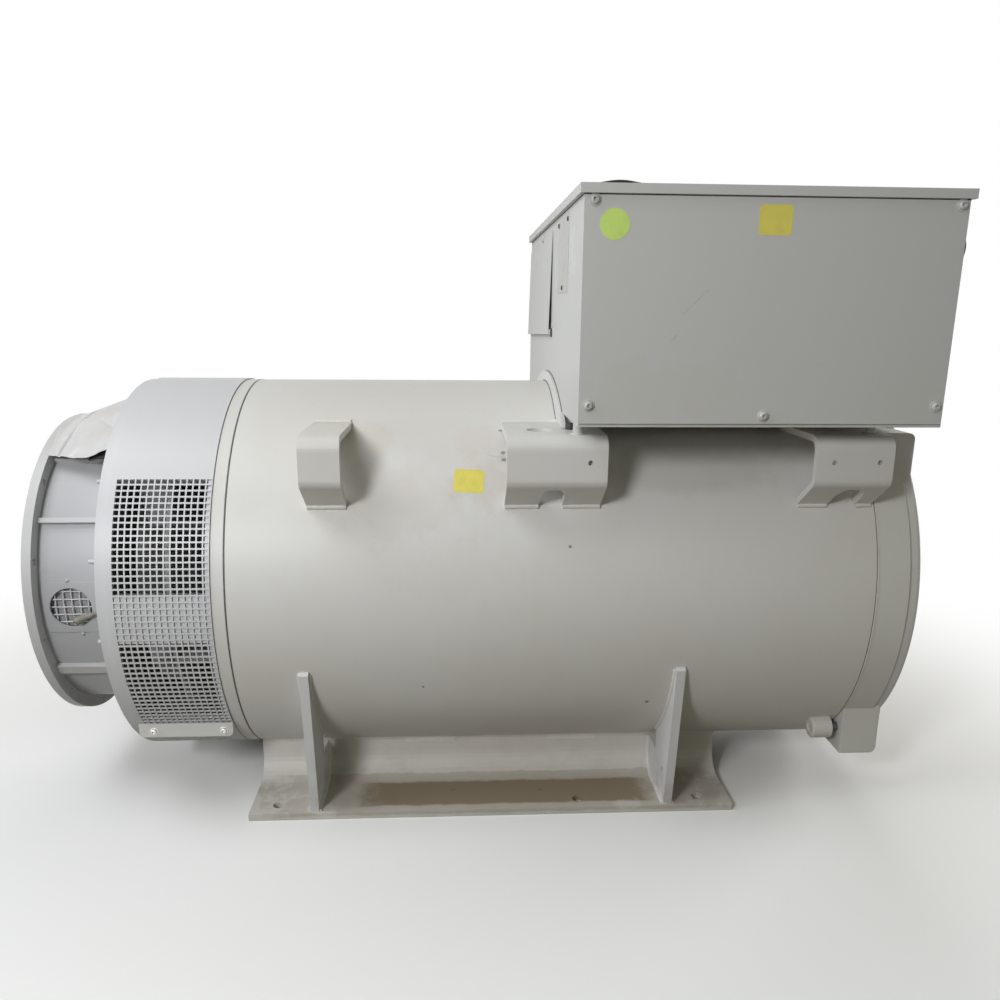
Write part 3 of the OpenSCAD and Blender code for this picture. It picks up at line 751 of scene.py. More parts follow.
def brushed(name, colour, tint, matt, scale=40, stretch=(1, 1, 1), bump=0.2):
    """Bare metal with fine lines, clouds of tarnish and rubbed edges."""
    material, tree, shader = new_material(name, metal=1.0)
    edges = placed_group(tree, WORN_EDGES, {"Radius": 0.0008, "Wear": 0.3})
    lines = mottle(tree, scale * 8, 4, 0.6, stretch)
    tarnish = times(ramp(mottle(tree, scale, 5, 0.6, seed=2.0), 0.40, 0.72), 0.5)
    colour = blend_colour(edges["Edge"], blend_colour(tarnish, colour, tint), RUBBED_METAL)
    dress(shader, colour, matt, tarnish, 0.3, lines, bump, 0.0003, edges["Normal"])
    return material


def zinc_steel():
    return brushed("zinc_steel", (0.62, 0.61, 0.58), (0.44, 0.42, 0.36), matt=0.38)


def machined_steel():
    return brushed("machined_steel", (0.34, 0.335, 0.32), (0.22, 0.20, 0.18), matt=0.36, scale=30,
                   stretch=(1, 6, 6), bump=0.25)


def plain_plate():
    return brushed("plain_plate", (0.47, 0.47, 0.45), (0.40, 0.40, 0.36), matt=0.5, scale=30,
                   stretch=(1, 8, 1), bump=0.1)


def coated(name, colour, tint, matt=0.5, scale=30, bump=0.3, distance=0.0008, specular=0.4, coat=0.0):
    """Coating with a mottled tone and a fine grain."""
    material, tree, shader = new_material(name, specular=specular)
    edges = placed_group(tree, WORN_EDGES, {"Radius": 0.0008, "Wear": 0.0})
    tone = ramp(mottle(tree, scale, 5, 0.6), 0.35, 0.70)
    grain = mottle(tree, scale * 14, 4, 0.6, seed=1.0)
    shader["Coat Weight"].default_value = coat
    dress(shader, blend_colour(tone, colour, tint), matt, tone, 0.15, grain, bump, distance, edges["Normal"])
    return material


def dull_steel():
    return coated("dull_steel", (0.54, 0.54, 0.53), (0.42, 0.42, 0.40), matt=0.45, specular=0.6)


# Near-black steel, partly painted shade: it stands in for the deep shadow in the boss gaps.
def gap_shade_steel():
    return coated("gap_shade_steel", (0.10, 0.10, 0.105), (0.16, 0.15, 0.14), matt=0.4, specular=0.5)


def fan_primer():
    return coated("fan_primer", (0.46, 0.46, 0.47), (0.36, 0.36, 0.36))


def winding_varnish():
    return coated("winding_varnish", (0.085, 0.042, 0.022), (0.035, 0.018, 0.012), matt=0.28, scale=60,
                  bump=0.5, distance=0.001, coat=0.3)


def gauze_cloth():
    return coated("gauze_cloth", (0.36, 0.36, 0.38), (0.27, 0.27, 0.285), matt=0.6, scale=160, bump=0.5,
                  distance=0.0005)


def seal_rubber():
    return coated("seal_rubber", (0.035, 0.035, 0.037), (0.06, 0.058, 0.055), matt=0.6, scale=50)


def joint_sealant():
    return coated("joint_sealant", (0.075, 0.075, 0.07), (0.14, 0.135, 0.12), scale=60)


def light_sealant():
    return coated("light_sealant", (0.74, 0.74, 0.71), (0.64, 0.63, 0.58), scale=60)


def seal_lead():
    return coated("seal_lead", (0.25, 0.24, 0.205), (0.165, 0.158, 0.135), matt=0.55, scale=40, bump=0.6,
                  distance=0.0015)


def cover_film():
    """Thin white film with soft wrinkles and a faint yellowing."""
    material, tree, shader = new_material("cover_film", specular=0.5)
    tone = ramp(mottle(tree, 9, 4, 0.5), 0.38, 0.70)
    colour = blend_colour(tone, (0.56, 0.55, 0.55), (0.50, 0.48, 0.465))
    haze = mottle(tree, 40, 3, 0.5, seed=2.0)
    wrinkles = mottle(tree, 26, 4, 0.55, (1, 0.35, 0.35), seed=7.0)
    dress(shader, colour, 0.26, haze, 0.2, wrinkles, 0.45, 0.004)
    return material


def paper(name, colour, tint, matt):
    """Blank label stock with a faint fibre and a soiled tone."""
    material, tree, shader = new_material(name, specular=0.45)
    tone = ramp(mottle(tree, 45, 5, 0.6), 0.40, 0.74)
    fibre = mottle(tree, 900, 3, 0.6, (1, 1, 0.3), seed=3.0)
    dress(shader, blend_colour(tone, colour, tint), matt, tone, 0.12, fibre, 0.15, 0.0002)
    return material


def lime_sticker():
    return paper("lime_sticker", (0.60, 0.80, 0.20), (0.55, 0.73, 0.18), matt=0.42)


def yellow_sticker():
    return paper("yellow_sticker", (0.76, 0.68, 0.13), (0.68, 0.60, 0.14), matt=0.40)


def pale_label():
    return paper("pale_label", (0.62, 0.63, 0.61), (0.54, 0.55, 0.52), matt=0.5)


# Drive end

def add_outlet_screen(material):
    """Sheet over the outlet, with square holes at both sides and plain over the top."""
    low, high = SCREEN
    inner = FRAME_R + 0.3
    thickness = high.z - inner
    pitch, half, reach = 11.571, 4.4, 41
    row_pitch, row_half = 1.7256, 0.628
    columns = [low.x + 17 + pitch * k for k in range(15)]
    rows = [row_pitch * k - 37.8 for k in range(44)]
    rows += [180 - row for row in reversed(rows)]
    us, across = bands(low.x, columns, half, high.x)
    vs, around = bands(-reach, rows, row_half, 180 + reach, 3)
    bm = bmesh.new()
    perforated(bm, lambda u, v, out: polar(u, inner + out * thickness, v), us, vs,
               lambda i, j: across[i] and around[j])
    add_piece("outlet_screen_sheet", bm, material, "outlet_screen")


def add_outlet_bars(material):
    """Closing strip over the bar between the two windows at each side, behind the screen."""
    bm = bmesh.new()
    start, end = SCREEN[0].x + 9, SCREEN[1].x - 9
    outer, inner = FRAME_R - 0.2, FRAME_R - 15.2
    for side in SIDES:
        arc_slab(bm, ((start, outer), (end, outer), (end, inner), (start, inner)), -7.1, 13.5, 14, side)
    add_piece("outlet_bars", bm, material)


def add_clamp_screws(material):
    low, high = CLAMP
    height = (low.z + high.z) / 2 - 2
    stands = [facing(mirrored((x, low.y, height), side), NEAR * side)
              for side in SIDES for x in (low.x + 29, high.x - 18)]
    add_copies("clamp_screws", material, "zinc_steel", stands, dome_screw, 6.5, 4, 9)


# Middle of the near vent, and the outer radius of the covers it is cut in
VENT_X = 75
VENT_ANGLE = -2.35
COVER_R = 298


def add_vent_wires(material):
    """Square woven wire behind each vent hole."""
    bm = bmesh.new()
    radius, pitch, reach = 292.5, 15.5, 50
    spots = [reach * (n / 20 - 1) for n in range(41)]
    for side in SIDES:
        for k in range(-3, 4):
            bow = 0.5 if k % 2 else -0.5
            along = [(VENT_X + s, radius + bow * cos(pi * s / pitch),
                      VENT_ANGLE + degrees(k * pitch / radius)) for s in spots]
            across = [(VENT_X + k * pitch, radius - bow * cos(pi * s / pitch),
                       VENT_ANGLE + degrees(s / radius)) for s in spots]
            for run in (along, across):
                bar(bm, [polar(x, r, flipped(a, side)) for x, r, a in run], 1.5, 8)
    add_piece("vent_wires", bm, material, "vent_meshes")


def add_vent_gauze(material):
    """Fine insect gauze behind the wires of each vent."""
    places = [on_barrel(VENT_X, flipped(VENT_ANGLE, side), 287.5) for side in SIDES]
    add_copies("vent_gauze", material, None, places, round_label, 42, 0.3)


def add_vent_frames(material):
    """Square plate with a round hole in front of each vent."""
    bm = bmesh.new()
    squareness = 14
    profile = ((39.5, False, 0), (39.5, False, 1.6), (46, False, 1.8), (48, True, 1.8), (52, True, 1.6),
               (52, True, 0))
    for side in SIDES:
        loops = []
        for radius, square, out in profile:
            loop = []
            for turn in turns(96):
                c, s = cos(turn), sin(turn)
                reach = radius
                if square:
                    reach = radius / (abs(c) ** squareness + abs(s) ** squareness) ** (1 / squareness)
                angle = flipped(VENT_ANGLE + degrees(reach * s / COVER_R), side)
                loop.append(bm.verts.new(polar(VENT_X + reach * c, COVER_R + out, angle)))
            loops.append(loop)
        join_rings(bm, loops, closed=True)
    add_piece("vent_frames", bm, material)


def add_vent_screws(material):
    spots = [(x, flipped(angle, side)) for side in SIDES for x, angle in ((72, 8), (88, -13))]
    stands = [facing(polar(x, COVER_R + 1.5, angle), outward(angle)) for x, angle in spots]
    add_copies("vent_screws", material, "zinc_steel", stands, dome_screw, 2.8, 2.0, 3.6, 0.6)


def add_cable_seal(material):
    """Pear-shaped seal with a twisted tail, hung in front of the near vent."""
    bm = bmesh.new()
    start = polar(88, 308, -6.4)
    end = polar(133, 303, -3.4)
    stand = facing(start, end - start, UP)
    lathe(bm, stand, [(0, -8), (4, -7.4), (7.4, -4.5), (8.4, 0), (8.0, 5), (6.4, 12), (5.2, 20), (4.4, 30),
                      (3.2, 40), (2.4, 46), (0, 47)], 24)
    twist = [stand @ Vector((3.4 * cos(n), 3.4 * sin(n), 14 + n * 1.5)) for n in range(22)]
    bar(bm, twist, 1.6, 6)
    add_piece("cable_seal", bm, material)


FILM_END = 163.4
FILM_CREST = 325.2
# Height of the film's slack edges over the shaft, and the angle of its near edge, by distance along it
SLACK = ((0, FILM_CREST), (30, 326), (65, 333), (103, 343), (128, 353), (153, 363), (166, 369))
NEAR_EDGE = ((0, 56.5), (20, 54.6), (44, 53.8), (65, 52.4), (103, 50.8), (128, 51.7), (166, 51.9))
# Folds of the film: where each starts, its lean, depth and width
FOLDS = ((44, 0.1, 5.0, 2.6), (150, -0.9, 3.0, 4.0), (12, 1.4, 2.4, 5.0), (96, 0.55, 2.0, 6.0),
         (70, -0.35, 1.6, 5.0), (128, 0.2, 1.6, 5.0))


def film_start(angle):
    """Where the film begins: it laps over the flange's rim at its crest and stays behind it lower down."""
    return 5 + 12 * held((abs(angle - 90) - 15) / 14)


def film_radius(x, angle):
    """Height of the film over the shaft, tight over its crest and slack at its lower edges."""
    crest = FILM_CREST + max(0.0, x - 22) * 52.5 / 143
    from_crest = abs(angle - 89) / 37
    share = held((from_crest - 0.35) / 0.65) ** 1.6
    radius = crest + (read_off(SLACK, x) - crest) * share
    away = (angle - 60) * 6
    pull = held((x - 18) / 18) * held((163 - x) / 14)
    for start, lean, depth, width in FOLDS:
        gap = abs(x - start - lean * away) / width
        radius -= pull * depth * exp(-gap * gap / 2) * (0.6 + 0.4 * cos(away / 23 + start))
    return radius


def add_cover_film(material):
    """Film stretched over the open top of the adapter, cut unevenly at its lower edges."""
    bm = bmesh.new()
    wave = random.Random(5)
    rows, columns = 90, 150
    grid = []
    for n in range(rows):
        share = n / (rows - 1)
        x = film_start(60) + (FILM_END - film_start(60)) * share
        start = read_off(NEAR_EDGE, x)
        finish = 126 + 0.9 * sin(x / 17) + wave.uniform(-0.05, 0.05)
        row = []
        for k in range(columns + 1):
            angle = start + (finish - start) * k / columns
            first = film_start(angle)
            x = first + (FILM_END - first) * share
            row.append(bm.verts.new(polar(x, film_radius(x, angle), angle)))
        grid.append(row)
    for one, two in zip(grid, grid[1:]):
        for k in range(columns):
            bm.faces.new((one[k], two[k], two[k + 1], one[k + 1]))
    piece = add_piece("window_cover_film", bm, material, "window_film", 180)
    skin = piece.modifiers.new("thickness", "SOLIDIFY")
    skin.thickness = 0.0006
    skin.offset = 0


def add_window_shade_strip(material):
    """Near-black rubber strip along the window's near edge, just inside the film, put there as painted shade
    under the film's edge.
    """
    bm = bmesh.new()
    arc_slab(bm, ((100, 330), (FILM_END, 350), (FILM_END, 347), (100, 327)), 51.8, 6.2, 20)
    add_piece("window_shade_strip", bm, material)


def add_air_guide(material):
    """Lip round the front plate's opening that leads the air into the fan; its near-black rubber is also
    painted shade that keeps the opening dark.
    """
    bm = bmesh.new()
    shaft_ring(bm, FRONT_PLATE[1].x, [(266, 0), (292, 0), (292, 3), (268, 3), (266, 5)])
    add_piece("air_guide_lip", bm, material)


# Front of the coupling disc, and the radius of three bolt circles
DISC_FACE = -25.4
DISC_BOLTS_R = 100
PLATE_BOLTS_R = 311
CAP_BOLTS_R = 139


def plate_nut(bm, stand):
    """Nut on its washer, with the long end of its stud."""
    hex_head(bm, stand, 17, 11, 11, 2.5)
    pin(bm, stand, 4.5, 1, 46, (0.7, 1), 20)


def add_front_plate_bolts(material):
    """Nut and long stud end, twelve times round the front plate."""
    stands = [around_shaft(FRONT_PLATE[0].x, PLATE_BOLTS_R, 15 + 30 * k, -ALONG) for k in range(12)]
    add_copies("front_plate_bolts", material, "housing_paint", stands, plate_nut)


def add_hub_bolts(material):
    """Bolts that hold the coupling disc to its hub."""
    stands = [around_shaft(DISC_FACE, DISC_BOLTS_R, 30 * k, -ALONG) for k in range(12)]
    add_copies("hub_bolts", material, "zinc_steel", stands, hex_head, 24, 13, 19, 3.5)


def add_coil_ends(material):
    """Varnished loops of the winding that stand out of the frame behind the fan."""
    bm = bmesh.new()
    x, radius, half_height, half_depth, lean = 381, 331, 38, 10, 4.2
    for k in range(60):
        loop = [polar(x - half_depth * cos(t), radius + half_height * sin(t), 6 * k + lean * cos(t))
                for t in turns(16)]
        bar(bm, loop, 5.5, 6, 0.12, k, closed=True)
    shaft_ring(bm, FRAME[0].x - 12, [(300, 0), (300, 9), (362, 9), (362, 0)], 120)
    add_piece("coil_ends", bm, material)


# Barrel and end shield

# Distance of the frame's bosses from the shaft
BOSS_R = 414


def add_joint_rings(dark, light):
    """Sealant pressed out of the joints between the barrel's rings."""
    bm = bmesh.new()
    wide = [(FRAME_R - 2, -1.3), (FRAME_R + 0.35, -1.2), (FRAME_R + 0.5, 0), (FRAME_R + 0.35, 1.2),
            (FRAME_R - 2, 1.3)]
    thin = [(radius, along * 0.45) for radius, along in wide]
    shaft_ring(bm, FRAME[0].x, wide)
    shaft_ring(bm, FRAME_RING[0].x, thin)
    shaft_ring(bm, FRAME[1].x - 0.8, thin)
    add_piece("joint_sealant", bm, dark)
    bm = bmesh.new()
    shaft_ring(bm, FRAME[1].x + 1.8, [(FRAME_R - 2, -1.6), (FRAME_R + 0.9, -1.3), (FRAME_R + 0.9, 1.3),
                                      (FRAME_R - 2, 1.6)])
    add_piece("shield_joint_bead", bm, light)


def add_barrel_plug(material):
    """Round cover plate let into the barrel in front of the bracket."""
    add_copies("barrel_plug", material, "housing_paint", [on_barrel(896, 49.7)], round_label, 40, 0.7)


def add_shield_bolts(material):
    """Stud from each boss of the frame through the shield's lug, level with its rear; its near-black steel is
    partly painted shade for the dark gap.
    """
    start, lug = FRAME[1].x - 18, 79
    length = SHIELD[0].x + lug + 1 - start
    stands = [around_shaft(start, BOSS_R, angle, ALONG) for angle in CORNERS]
    add_copies("shield_bolts", material, "zinc_steel", stands, pin, 10, 0, length, (1, 1), 24)


def add_boss_rims(material):
    """Cast rim round the front of each boss."""
    profile = [(0, -1), (22.6, -1), (21.2, 1.6), (18.5, 2.6), (10.5, 2.6), (9.2, 1.4), (9.0, 0.6), (0, 0.6)]
    stands = [around_shaft(FRAME[1].x - 52, BOSS_R, angle, -ALONG) for angle in CORNERS]
    add_copies("boss_rims", material, "housing_paint", stands, lathe, profile, 40)


def add_cap_bolts(material):
    stands = [around_shaft(CAP[0].x + 13, CAP_BOLTS_R, 22.5 + 45 * k, ALONG) for k in range(8)]
    add_copies("bearing_cap_bolts", material, "zinc_steel", stands, hex_head, 18, 8, 12, 2.5)


def add_inlet_grille(material):
    """Perforated ring behind the air inlets."""
    low, high = machine_box("inlet_grille")
    reach, core, pitch, half = 350, 146, 14, 4.7
    centres = [pitch * (k + 0.5) for k in range(-25, 25)]
    edges, opened = bands(-reach - 2, centres, half, reach + 2)

    def gone(i, j):
        y, z = (edges[i] + edges[i + 1]) / 2, (edges[j] + edges[j + 1]) / 2
        return not core < hypot(y, z) < reach or (opened[i] and opened[j])

    bm = bmesh.new()
    perforated(bm, lambda u, v, out: Vector((low.x + out * (high.x - low.x), u, v)), edges, edges, gone)
    add_piece("inlet_grille_sheet", bm, material, "inlet_grille")


# Feet

def add_gusset_welds(material):
    """Beads where each gusset meets the barrel, the foot's bend and its plate."""
    bm = bmesh.new()
    plate, bend, web = FOOT_TOP, FOOT_BEND, FOOT_WEB
    outer_end, upper_end = -346, -357
    for side in SIDES:
        for low, high in GUSSETS:
            for x in (low.x - 0.5, high.x + 0.5):
                seed = int(x)
                bead(bm, arc_path(x, FRAME_R + 1, -17.5, -49.6, 3), side, 4, seed=seed)
                flat = stepped(Vector((x, outer_end, plate + 1)), Vector((x, -web - bend, plate + 1)), 3)
                turn = [Vector((x, -web - bend + (bend - 1) * sin(t),
                                plate + bend - (bend - 1) * cos(t)))
                        for t in (pi / 2 * k / 24 for k in range(1, 25))]
                rise = stepped(Vector((x, -web - 1, plate + bend + 3)), Vector((x, -web - 1, upper_end)), 3)
                bead(bm, flat + turn + rise, side, 4.5, seed=seed + 1)
    add_piece("gusset_welds", bm, material)


def add_web_welds(material):
    """Thin bead along each foot's web under the barrel, with two longer runs laid over it."""
    bm = bmesh.new()
    height = -351.8
    run = stepped(Vector((FOOT[0].x + 3, -FOOT_WEB, height)), Vector((FOOT[1].x - 3, -FOOT_WEB, height)), 4)
    for side in SIDES:
        bead(bm, run, side, 3, seed=31)
        for start, end in ((700, 809), (1011, 1118)):
            stand = facing(mirrored(((start + end) / 2, -FOOT_WEB, height - 4.7), side), NEAR * side)
            label(bm, on_stand(stand), end - start, 13, 6, 2.4)
    add_piece("web_welds", bm, material)


# Brackets and lugs

# Angles at which their lower and upper edges meet the barrel
LOWER_EDGE = 29.2
UPPER_EDGE = 57.2


def bracket_runs():
    """Lengths of bracket that are welded at their lower edge, clear of the notches."""
    front, rear = BRACKET[0].x, REAR_BRACKET[0].x
    return ((LUG[0].x, LUG[1].x), (front, front + 64), (front + 108, BRACKET[1].x), (rear, rear + 57),
            (rear + 111, REAR_BRACKET[1].x))


def level_run(start, end, radius, angle):
    """Points along the barrel at one angle."""
    return stepped(polar(start, radius, angle), polar(end, radius, angle), 4)


def add_bracket_welds(material):
    """Beads along the lower and upper edges of the brackets and lugs."""
    bm = bmesh.new()
    for side in SIDES:
        for k, (start, end) in enumerate(bracket_runs()):
            run = level_run(start + 1, end - 1, FRAME_R + 1.5, LOWER_EDGE)
            bead(bm, run, side, 5, 12, 0.12, 40 + k)
        for k, (low, high) in enumerate((LUG, BRACKET, REAR_BRACKET)):
            run = level_run(low.x + 2, high.x - 2, FRAME_R + 1, UPPER_EDGE)
            bead(bm, run, side, 4, 10, 0.12, 50 + k)
    add_piece("bracket_welds", bm, material)


def add_post_washers(material):
    """Washer under each post, on the bracket."""
    low, high = POSTS
    stands = [facing(mirrored((x, low.y + 9, low.z), side), UP)
              for side in SIDES for x in (low.x + 9, high.x - 9)]
    add_copies("post_washers", material, "zinc_steel", stands, pin, 14, -1, 2.5, (0.6, 0.6))


def add_mount_rubbers(material):
    """Rubber blocks pressed between the saddle's ends and the front brackets."""
    profile = [(0, -1), (8.4, -1), (9, 1), (9, 9), (7.6, 11.5), (0, 11.5)]
    stands = [facing(mirrored((1026, -322, BRACKET[1].z), side), UP) for side in SIDES]
    add_copies("mount_rubbers", material, "seal_rubber", stands, lathe, profile, 28)


# Terminal box

def box_face(x, z, side=1):
    """Stand on the box's long panel."""
    return facing((x, -BOX_HALF * side, z), NEAR * side)


def end_face(y, z):
    """Stand on the box's drive-end panel, with its X across the panel."""
    return facing((BOX[0].x, y, z), -ALONG, NEAR)


def add_box_screws(material):
    low, high = BOX
    places = [(x, z) for x in (low.x + 17, high.x - 13) for z in (high.z - 7.5, low.z + 35.5)]
    places.append(((low.x + high.x) / 2 + 2, low.z + 19))
    stands = [box_face(x, z, side) for side in SIDES for x, z in places]
    add_copies("box_screws", material, "zinc_steel", stands, dome_screw, 7.4, 4.4, 10)


def add_box_folds(material):
    """Shadowed fold lines where the long panels turn under the box."""
    bm = bmesh.new()
    low, high = BOX
    for side in SIDES:
        y = -BOX_HALF * side
        run = [Vector((low.x + 2, y, low.z + 5)), Vector((high.x - 2, y, low.z + 5))]
        bar(bm, run, 0.55, 6)
    add_piece("box_fold_lines", bm, material)


def add_saddle_seams(material):
    """Sealant along the saddle, at the barrel and at the box's end panels."""
    bm = bmesh.new()
    crown, radius = 422, 604
    centre = crown - radius
    reach = acos((BRACKET[1].z + 26 - centre) / radius)
    for x in (BOX[0].x - 0.4, BOX_REAR[1].x + 0.4):
        leans = [reach * (k / 40 - 1) for k in range(81)]
        arch = [Vector((x, radius * sin(t), centre + radius * cos(t))) for t in leans]
        bar(bm, arch, 1.1, 8, 0.2, 61)
    for x in (BOX[0].x - 6, BOX_REAR[1].x + 6):
        bar(bm, arc_path(x, FRAME_R + 0.8, 57.3, 122.7, 6), 1.3, 8, 0.2, 62)
    add_piece("saddle_seams", bm, material)


def add_cable_gland(material):
    """Rubber gland on the rear panel."""
    profile = [(0, -1), (27, -1), (27, 3), (25.5, 4.5), (21, 5), (19.5, 7.4), (14, 8), (8.5, 8), (8, 4),
               (0, 4)]
    stand = facing((BOX_REAR[1].x, 30 - BOX_HALF, 650), ALONG, NEAR)
    add_copies("cable_gland", material, "seal_rubber", [stand], lathe, profile, 48)


def add_lid_strap(material):
    """Folded rubber pull strap lying on the lid's near edge."""
    bm = bmesh.new()
    start, step, rise = 1036, 4.2, 5.2
    path = [Vector((start + step * k, 30 - BOX_HALF, LID[1].z + 1.2 + rise * sin(pi * k / 20) ** 1.4))
            for k in range(21)]
    section = ((-11, -1.4), (11, -1.4), (12, 0), (11, 1.4), (-11, 1.4), (-12, 0))
    rings = [[bm.verts.new(point + Vector((0, y, z))) for y, z in section] for point in path]
    join_rings(bm, rings)
    add_piece("lid_strap", bm, material)


def add_access_fixings(steel, rubber):
    """Screw at the access cover's upper edge, and the screw and grommet of the clip at its near edge."""
    bm = bmesh.new()
    stand = facing((ACCESS[0].x + 7.6, 136, ACCESS[1].z - 6), -ALONG, NEAR)
    dome_screw(bm, stand, 6, 4, 9.5)
    dome_screw(bm, end_face(-38, 504), 7, 5, 10)
    add_piece("access_screws", bm, steel)
    profile = [(0, -1), (9.4, -1), (9.4, 2), (8.6, 3), (5, 3.4), (0, 3.4)]
    add_copies("access_grommet", rubber, "seal_rubber", [end_face(-46, 504)], lathe, profile, 28)


def add_plate_rivets(material):
    profile = [(0, -1), (4.6, -1), (4.6, 0.6), (3.8, 1.9), (2, 2.5), (0, 2.6)]
    low, high = PLATE
    middle = (low.y + high.y) / 2
    places = ((low.y + 9, high.z - 9), (high.y - 9, high.z - 9), (middle, low.z + 9))
    stands = [facing((low.x, y, z), -ALONG, NEAR) for y, z in places]
    add_copies("plate_rivets", material, None, stands, lathe, profile, 20)


# Stickers, all blank

def add_stickers():
    pieces = (
        ("lime_sticker", lime_sticker(), on_stand(box_face(1067.5, 678.6)), 47.5, 47.5, 23.7),
        ("box_sticker", yellow_sticker(), on_stand(box_face(1325, 688)), 54, 46, 6),
        ("barrel_sticker", yellow_sticker(), on_barrel(839, 36.6, tilt=-4), 56, 48, 6),
        ("paper_label", pale_label(), on_stand(end_face(130 - BOX_HALF, 645)), 82, 78, 3),
    )
    for name, material, place, width, height, corner in pieces:
        add_copies(name, material, None, [place], label, width, height, corner, 0.3, 36)


# Studio, in metres

MIDDLE = (-0.1, 0, 0.5)
FLOOR_HALF = 14
FLOOR_FADE = (0.9, 2.1)
FLOOR_LIT = (0.205, 0.19, 0.15)
FLOOR_SEEN = (0.93, 0.93, 0.93)
SKY_LIT = (0.150, 0.143, 0.105)
WHITE = (1, 1, 1)


def seen_directly(tree):
    """1 for the camera's own view and what gloss and glass show of it."""
    path = node(tree, "LightPath").outputs
    seen = math_node("MAXIMUM", path["Is Camera Ray"], path["Is Glossy Ray"])
    return math_node("MAXIMUM", seen, path["Is Transmission Ray"])


def add_floor():
    """Pale floor that keeps the machine's shadow and fades into the backdrop."""
    mesh = bpy.data.meshes.new("floor")
    corners = [(x * FLOOR_HALF, y * FLOOR_HALF, 0) for x, y in ((-1, -1), (1, -1), (1, 1), (-1, 1))]
    mesh.from_pydata(corners, [], [(0, 1, 2, 3)])
    new_object("floor", mesh)
    material, tree, shader = new_material("pale_floor", specular=0.0)
    mesh.materials.append(material)
    seen = seen_directly(tree)
    fill(shader["Base Color"], blend_colour(seen, FLOOR_LIT, FLOOR_SEEN))
    shader["Roughness"].default_value = 1.0
    away = vector_node("LENGTH", own_place(tree)).outputs["Value"]
    glow = node(tree, "Emission", {"Color": WHITE, "Strength": 1.0})
    mixed = node(tree, "MixShader", {0: times(ramp(away, *FLOOR_FADE), seen)})
    tree.links.new(tree.nodes["Principled BSDF"].outputs[0], mixed.inputs[1])
    tree.links.new(glow.outputs[0], mixed.inputs[2])
    tree.links.new(mixed.outputs[0], tree.nodes["Material Output"].inputs["Surface"])


def add_world():
    """Dim sky for light, white where it is seen."""
    world = bpy.data.worlds.new("studio")
    bpy.context.scene.world = world
    world.use_nodes = True
    tree = world.node_tree
    back = tree.nodes["Background"]
    fill(back.inputs["Color"], blend_colour(seen_directly(tree), SKY_LIT, WHITE))
    back.inputs["Strength"].default_value = 1.0


def add_lamp(name, place, size, power, colour=(1.0, 1.0, 1.0), gloss=True):
    """Soft round lamp aimed at the machine's middle."""
    lamp = bpy.data.lights.new(name, "AREA")
    lamp.shape = "DISK"
    lamp.size = size
    lamp.energy = power
    lamp.color = colour
    obj = new_object(name, lamp)
    obj.location = place
    obj.rotation_euler = (Vector(MIDDLE) - Vector(place)).to_track_quat("-Z", "Y").to_euler()
    obj.visible_glossy = gloss


def add_camera():
    """Stands at the near side, left of the box, and looks slightly down and to the right."""
    eye = (816.18, -1917.05, 538.25)
    yaw, pitch, roll = 0.0564656, -0.2597050, 0.0083259
    forward = Vector((sin(yaw) * cos(pitch), cos(yaw) * cos(pitch), sin(pitch)))
    level = Vector((cos(yaw), -sin(yaw), 0))
    upright = level.cross(forward)
    right = cos(roll) * level + sin(roll) * upright
    up = cos(roll) * upright - sin(roll) * level
    data = bpy.data.cameras.new("camera")
    data.sensor_width = 36
    data.lens = 31.1513
    data.shift_x = -0.0044
    data.shift_y = 0.0452
    camera = new_object("camera", data)
    stand = Matrix((right, up, -forward)).transposed().to_4x4()
    camera.matrix_world = Matrix.Translation(TO_ROW @ Vector(eye)) @ stand
    bpy.context.scene.camera = camera


# Making the machine

BARREL = barrel_enamel()
HOUSING = housing_enamel()
FEET = foot_enamel()
GUSSET = gusset_enamel()
END_SHIELD = shield_enamel()
FLANGE = flange_enamel()
COVER_PAINT = cover_enamel()
SCREEN_PAINT = screen_enamel()
CLAMP_PAINT = clamp_enamel()
BOX_COAT = box_coat()
STEEL = zinc_steel()
DULL_STEEL = dull_steel()
MACHINED = machined_steel()
RUBBER = seal_rubber()
SEALANT = joint_sealant()
WELD = weld_metal()
VARNISH = winding_varnish()

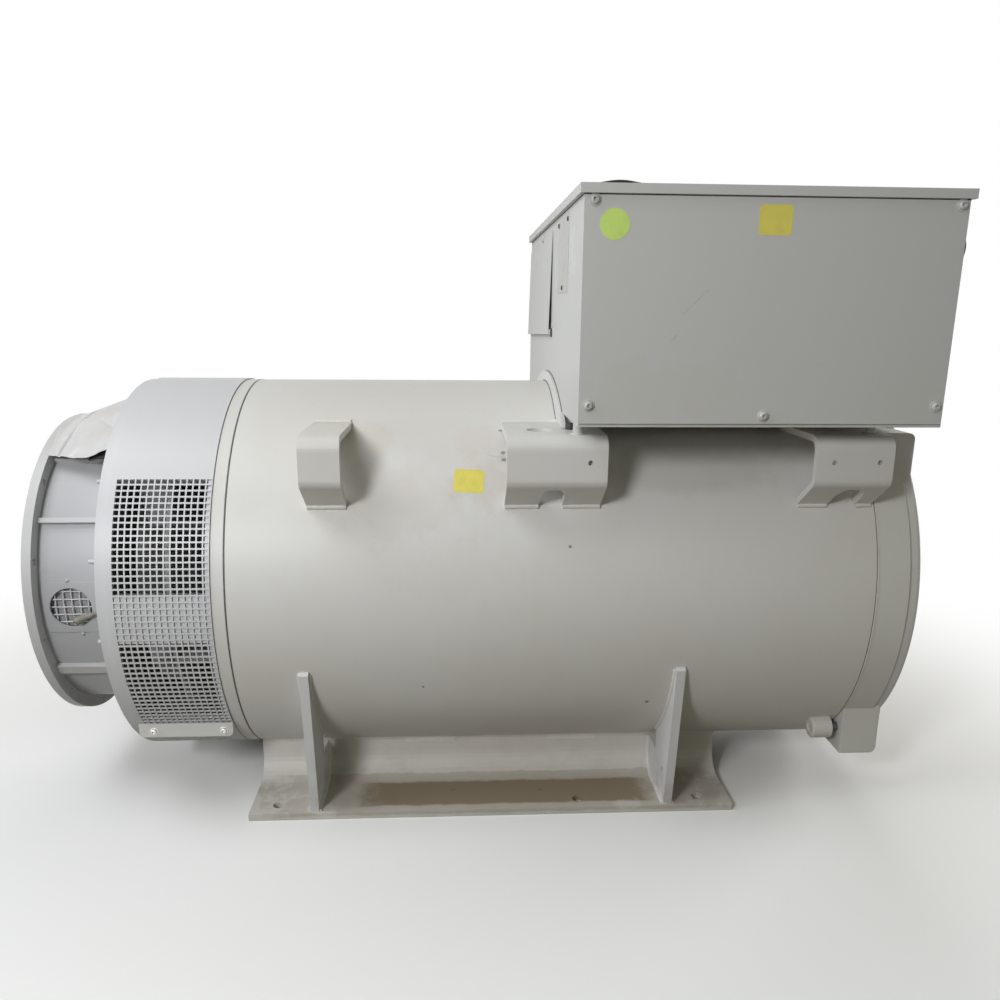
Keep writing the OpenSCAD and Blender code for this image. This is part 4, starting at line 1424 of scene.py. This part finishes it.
NODE_MATERIALS = (
    (BARREL, ("stator_frame", "frame_ring")),
    (FEET, ("foot_near", "foot_far")),
    (GUSSET, ("gusset_front_near", "gusset_front_far", "gusset_rear_near", "gusset_rear_far")),
    (END_SHIELD, ("rear_end_shield", "bearing_cap")),
    (FLANGE, ("drive_flange", "adapter_ribs")),
    (COVER_PAINT, ("cover_near_side", "cover_far_side", "covers_upper", "cover_bottom")),
    (SCREEN_PAINT, ("outlet_screen", "inlet_grille", "vent_meshes")),
    (barrel_window_enamel(), ("outlet_barrel",)),
    (front_plate_enamel(), ("front_plate",)),
    (CLAMP_PAINT, ("screen_clamp_near", "screen_clamp_far")),
    (BOX_COAT, ("box_front_panel", "box_back_panel", "box_drive_panel", "box_rear_panel", "box_lid",
                "box_floor", "access_cover")),
    (DULL_STEEL, ("box_posts",)),
    (MACHINED, ("shaft_hub", "coupling_disc")),
    (fan_primer(), ("fan",)),
    (VARNISH, ("exciter",)),
    (RUBBER, ("box_seal",)),
    (plain_plate(), ("rating_plate",)),
)


def dress_nodes():
    """Gives every CAD node its finish, the housing's own where no other is named."""
    finish = {name: material for material, names in NODE_MATERIALS for name in names}
    for name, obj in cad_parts.items():
        obj.data.materials.clear()
        obj.data.materials.append(finish.get(name, HOUSING))


def add_pieces():
    add_outlet_screen(SCREEN_PAINT)
    add_outlet_bars(SCREEN_PAINT)
    add_clamp_screws(STEEL)
    add_vent_wires(SCREEN_PAINT)
    add_vent_gauze(gauze_cloth())
    add_vent_frames(COVER_PAINT)
    add_vent_screws(DULL_STEEL)
    add_cable_seal(seal_lead())
    add_cover_film(cover_film())
    add_window_shade_strip(RUBBER)
    add_air_guide(RUBBER)
    add_front_plate_bolts(FLANGE)
    add_hub_bolts(STEEL)
    add_coil_ends(VARNISH)
    add_joint_rings(SEALANT, light_sealant())
    add_barrel_plug(BARREL)
    add_shield_bolts(gap_shade_steel())
    add_boss_rims(HOUSING)
    add_cap_bolts(STEEL)
    add_inlet_grille(SCREEN_PAINT)
    add_gusset_welds(WELD)
    add_web_welds(WELD)
    add_bracket_welds(WELD)
    add_post_washers(DULL_STEEL)
    add_mount_rubbers(RUBBER)
    add_box_screws(DULL_STEEL)
    add_box_folds(SEALANT)
    add_saddle_seams(SEALANT)
    add_cable_gland(RUBBER)
    add_lid_strap(RUBBER)
    add_access_fixings(DULL_STEEL, RUBBER)
    add_plate_rivets(RUBBER)
    add_stickers()


dress_nodes()
add_pieces()
add_floor()
add_world()
add_lamp("near_left", (-1.3, -2.6, 1.7), 0.6, 39, (0.97, 0.98, 1.0))
add_lamp("above_left", (-1.6, -0.8, 2.8), 1.6, 31, (0.94, 0.965, 1.0))
add_lamp("drive_end", (-3.4, -0.9, 1.2), 1.0, 20, (0.90, 0.95, 1.0))
add_lamp("far_side", (0.9, 3.2, 1.3), 1.6, 52, gloss=False)
add_lamp("rear_end", (3.3, 0.9, 1.3), 1.6, 46, gloss=False)
add_camera()
bpy.context.scene.view_settings.view_transform = "Standard"
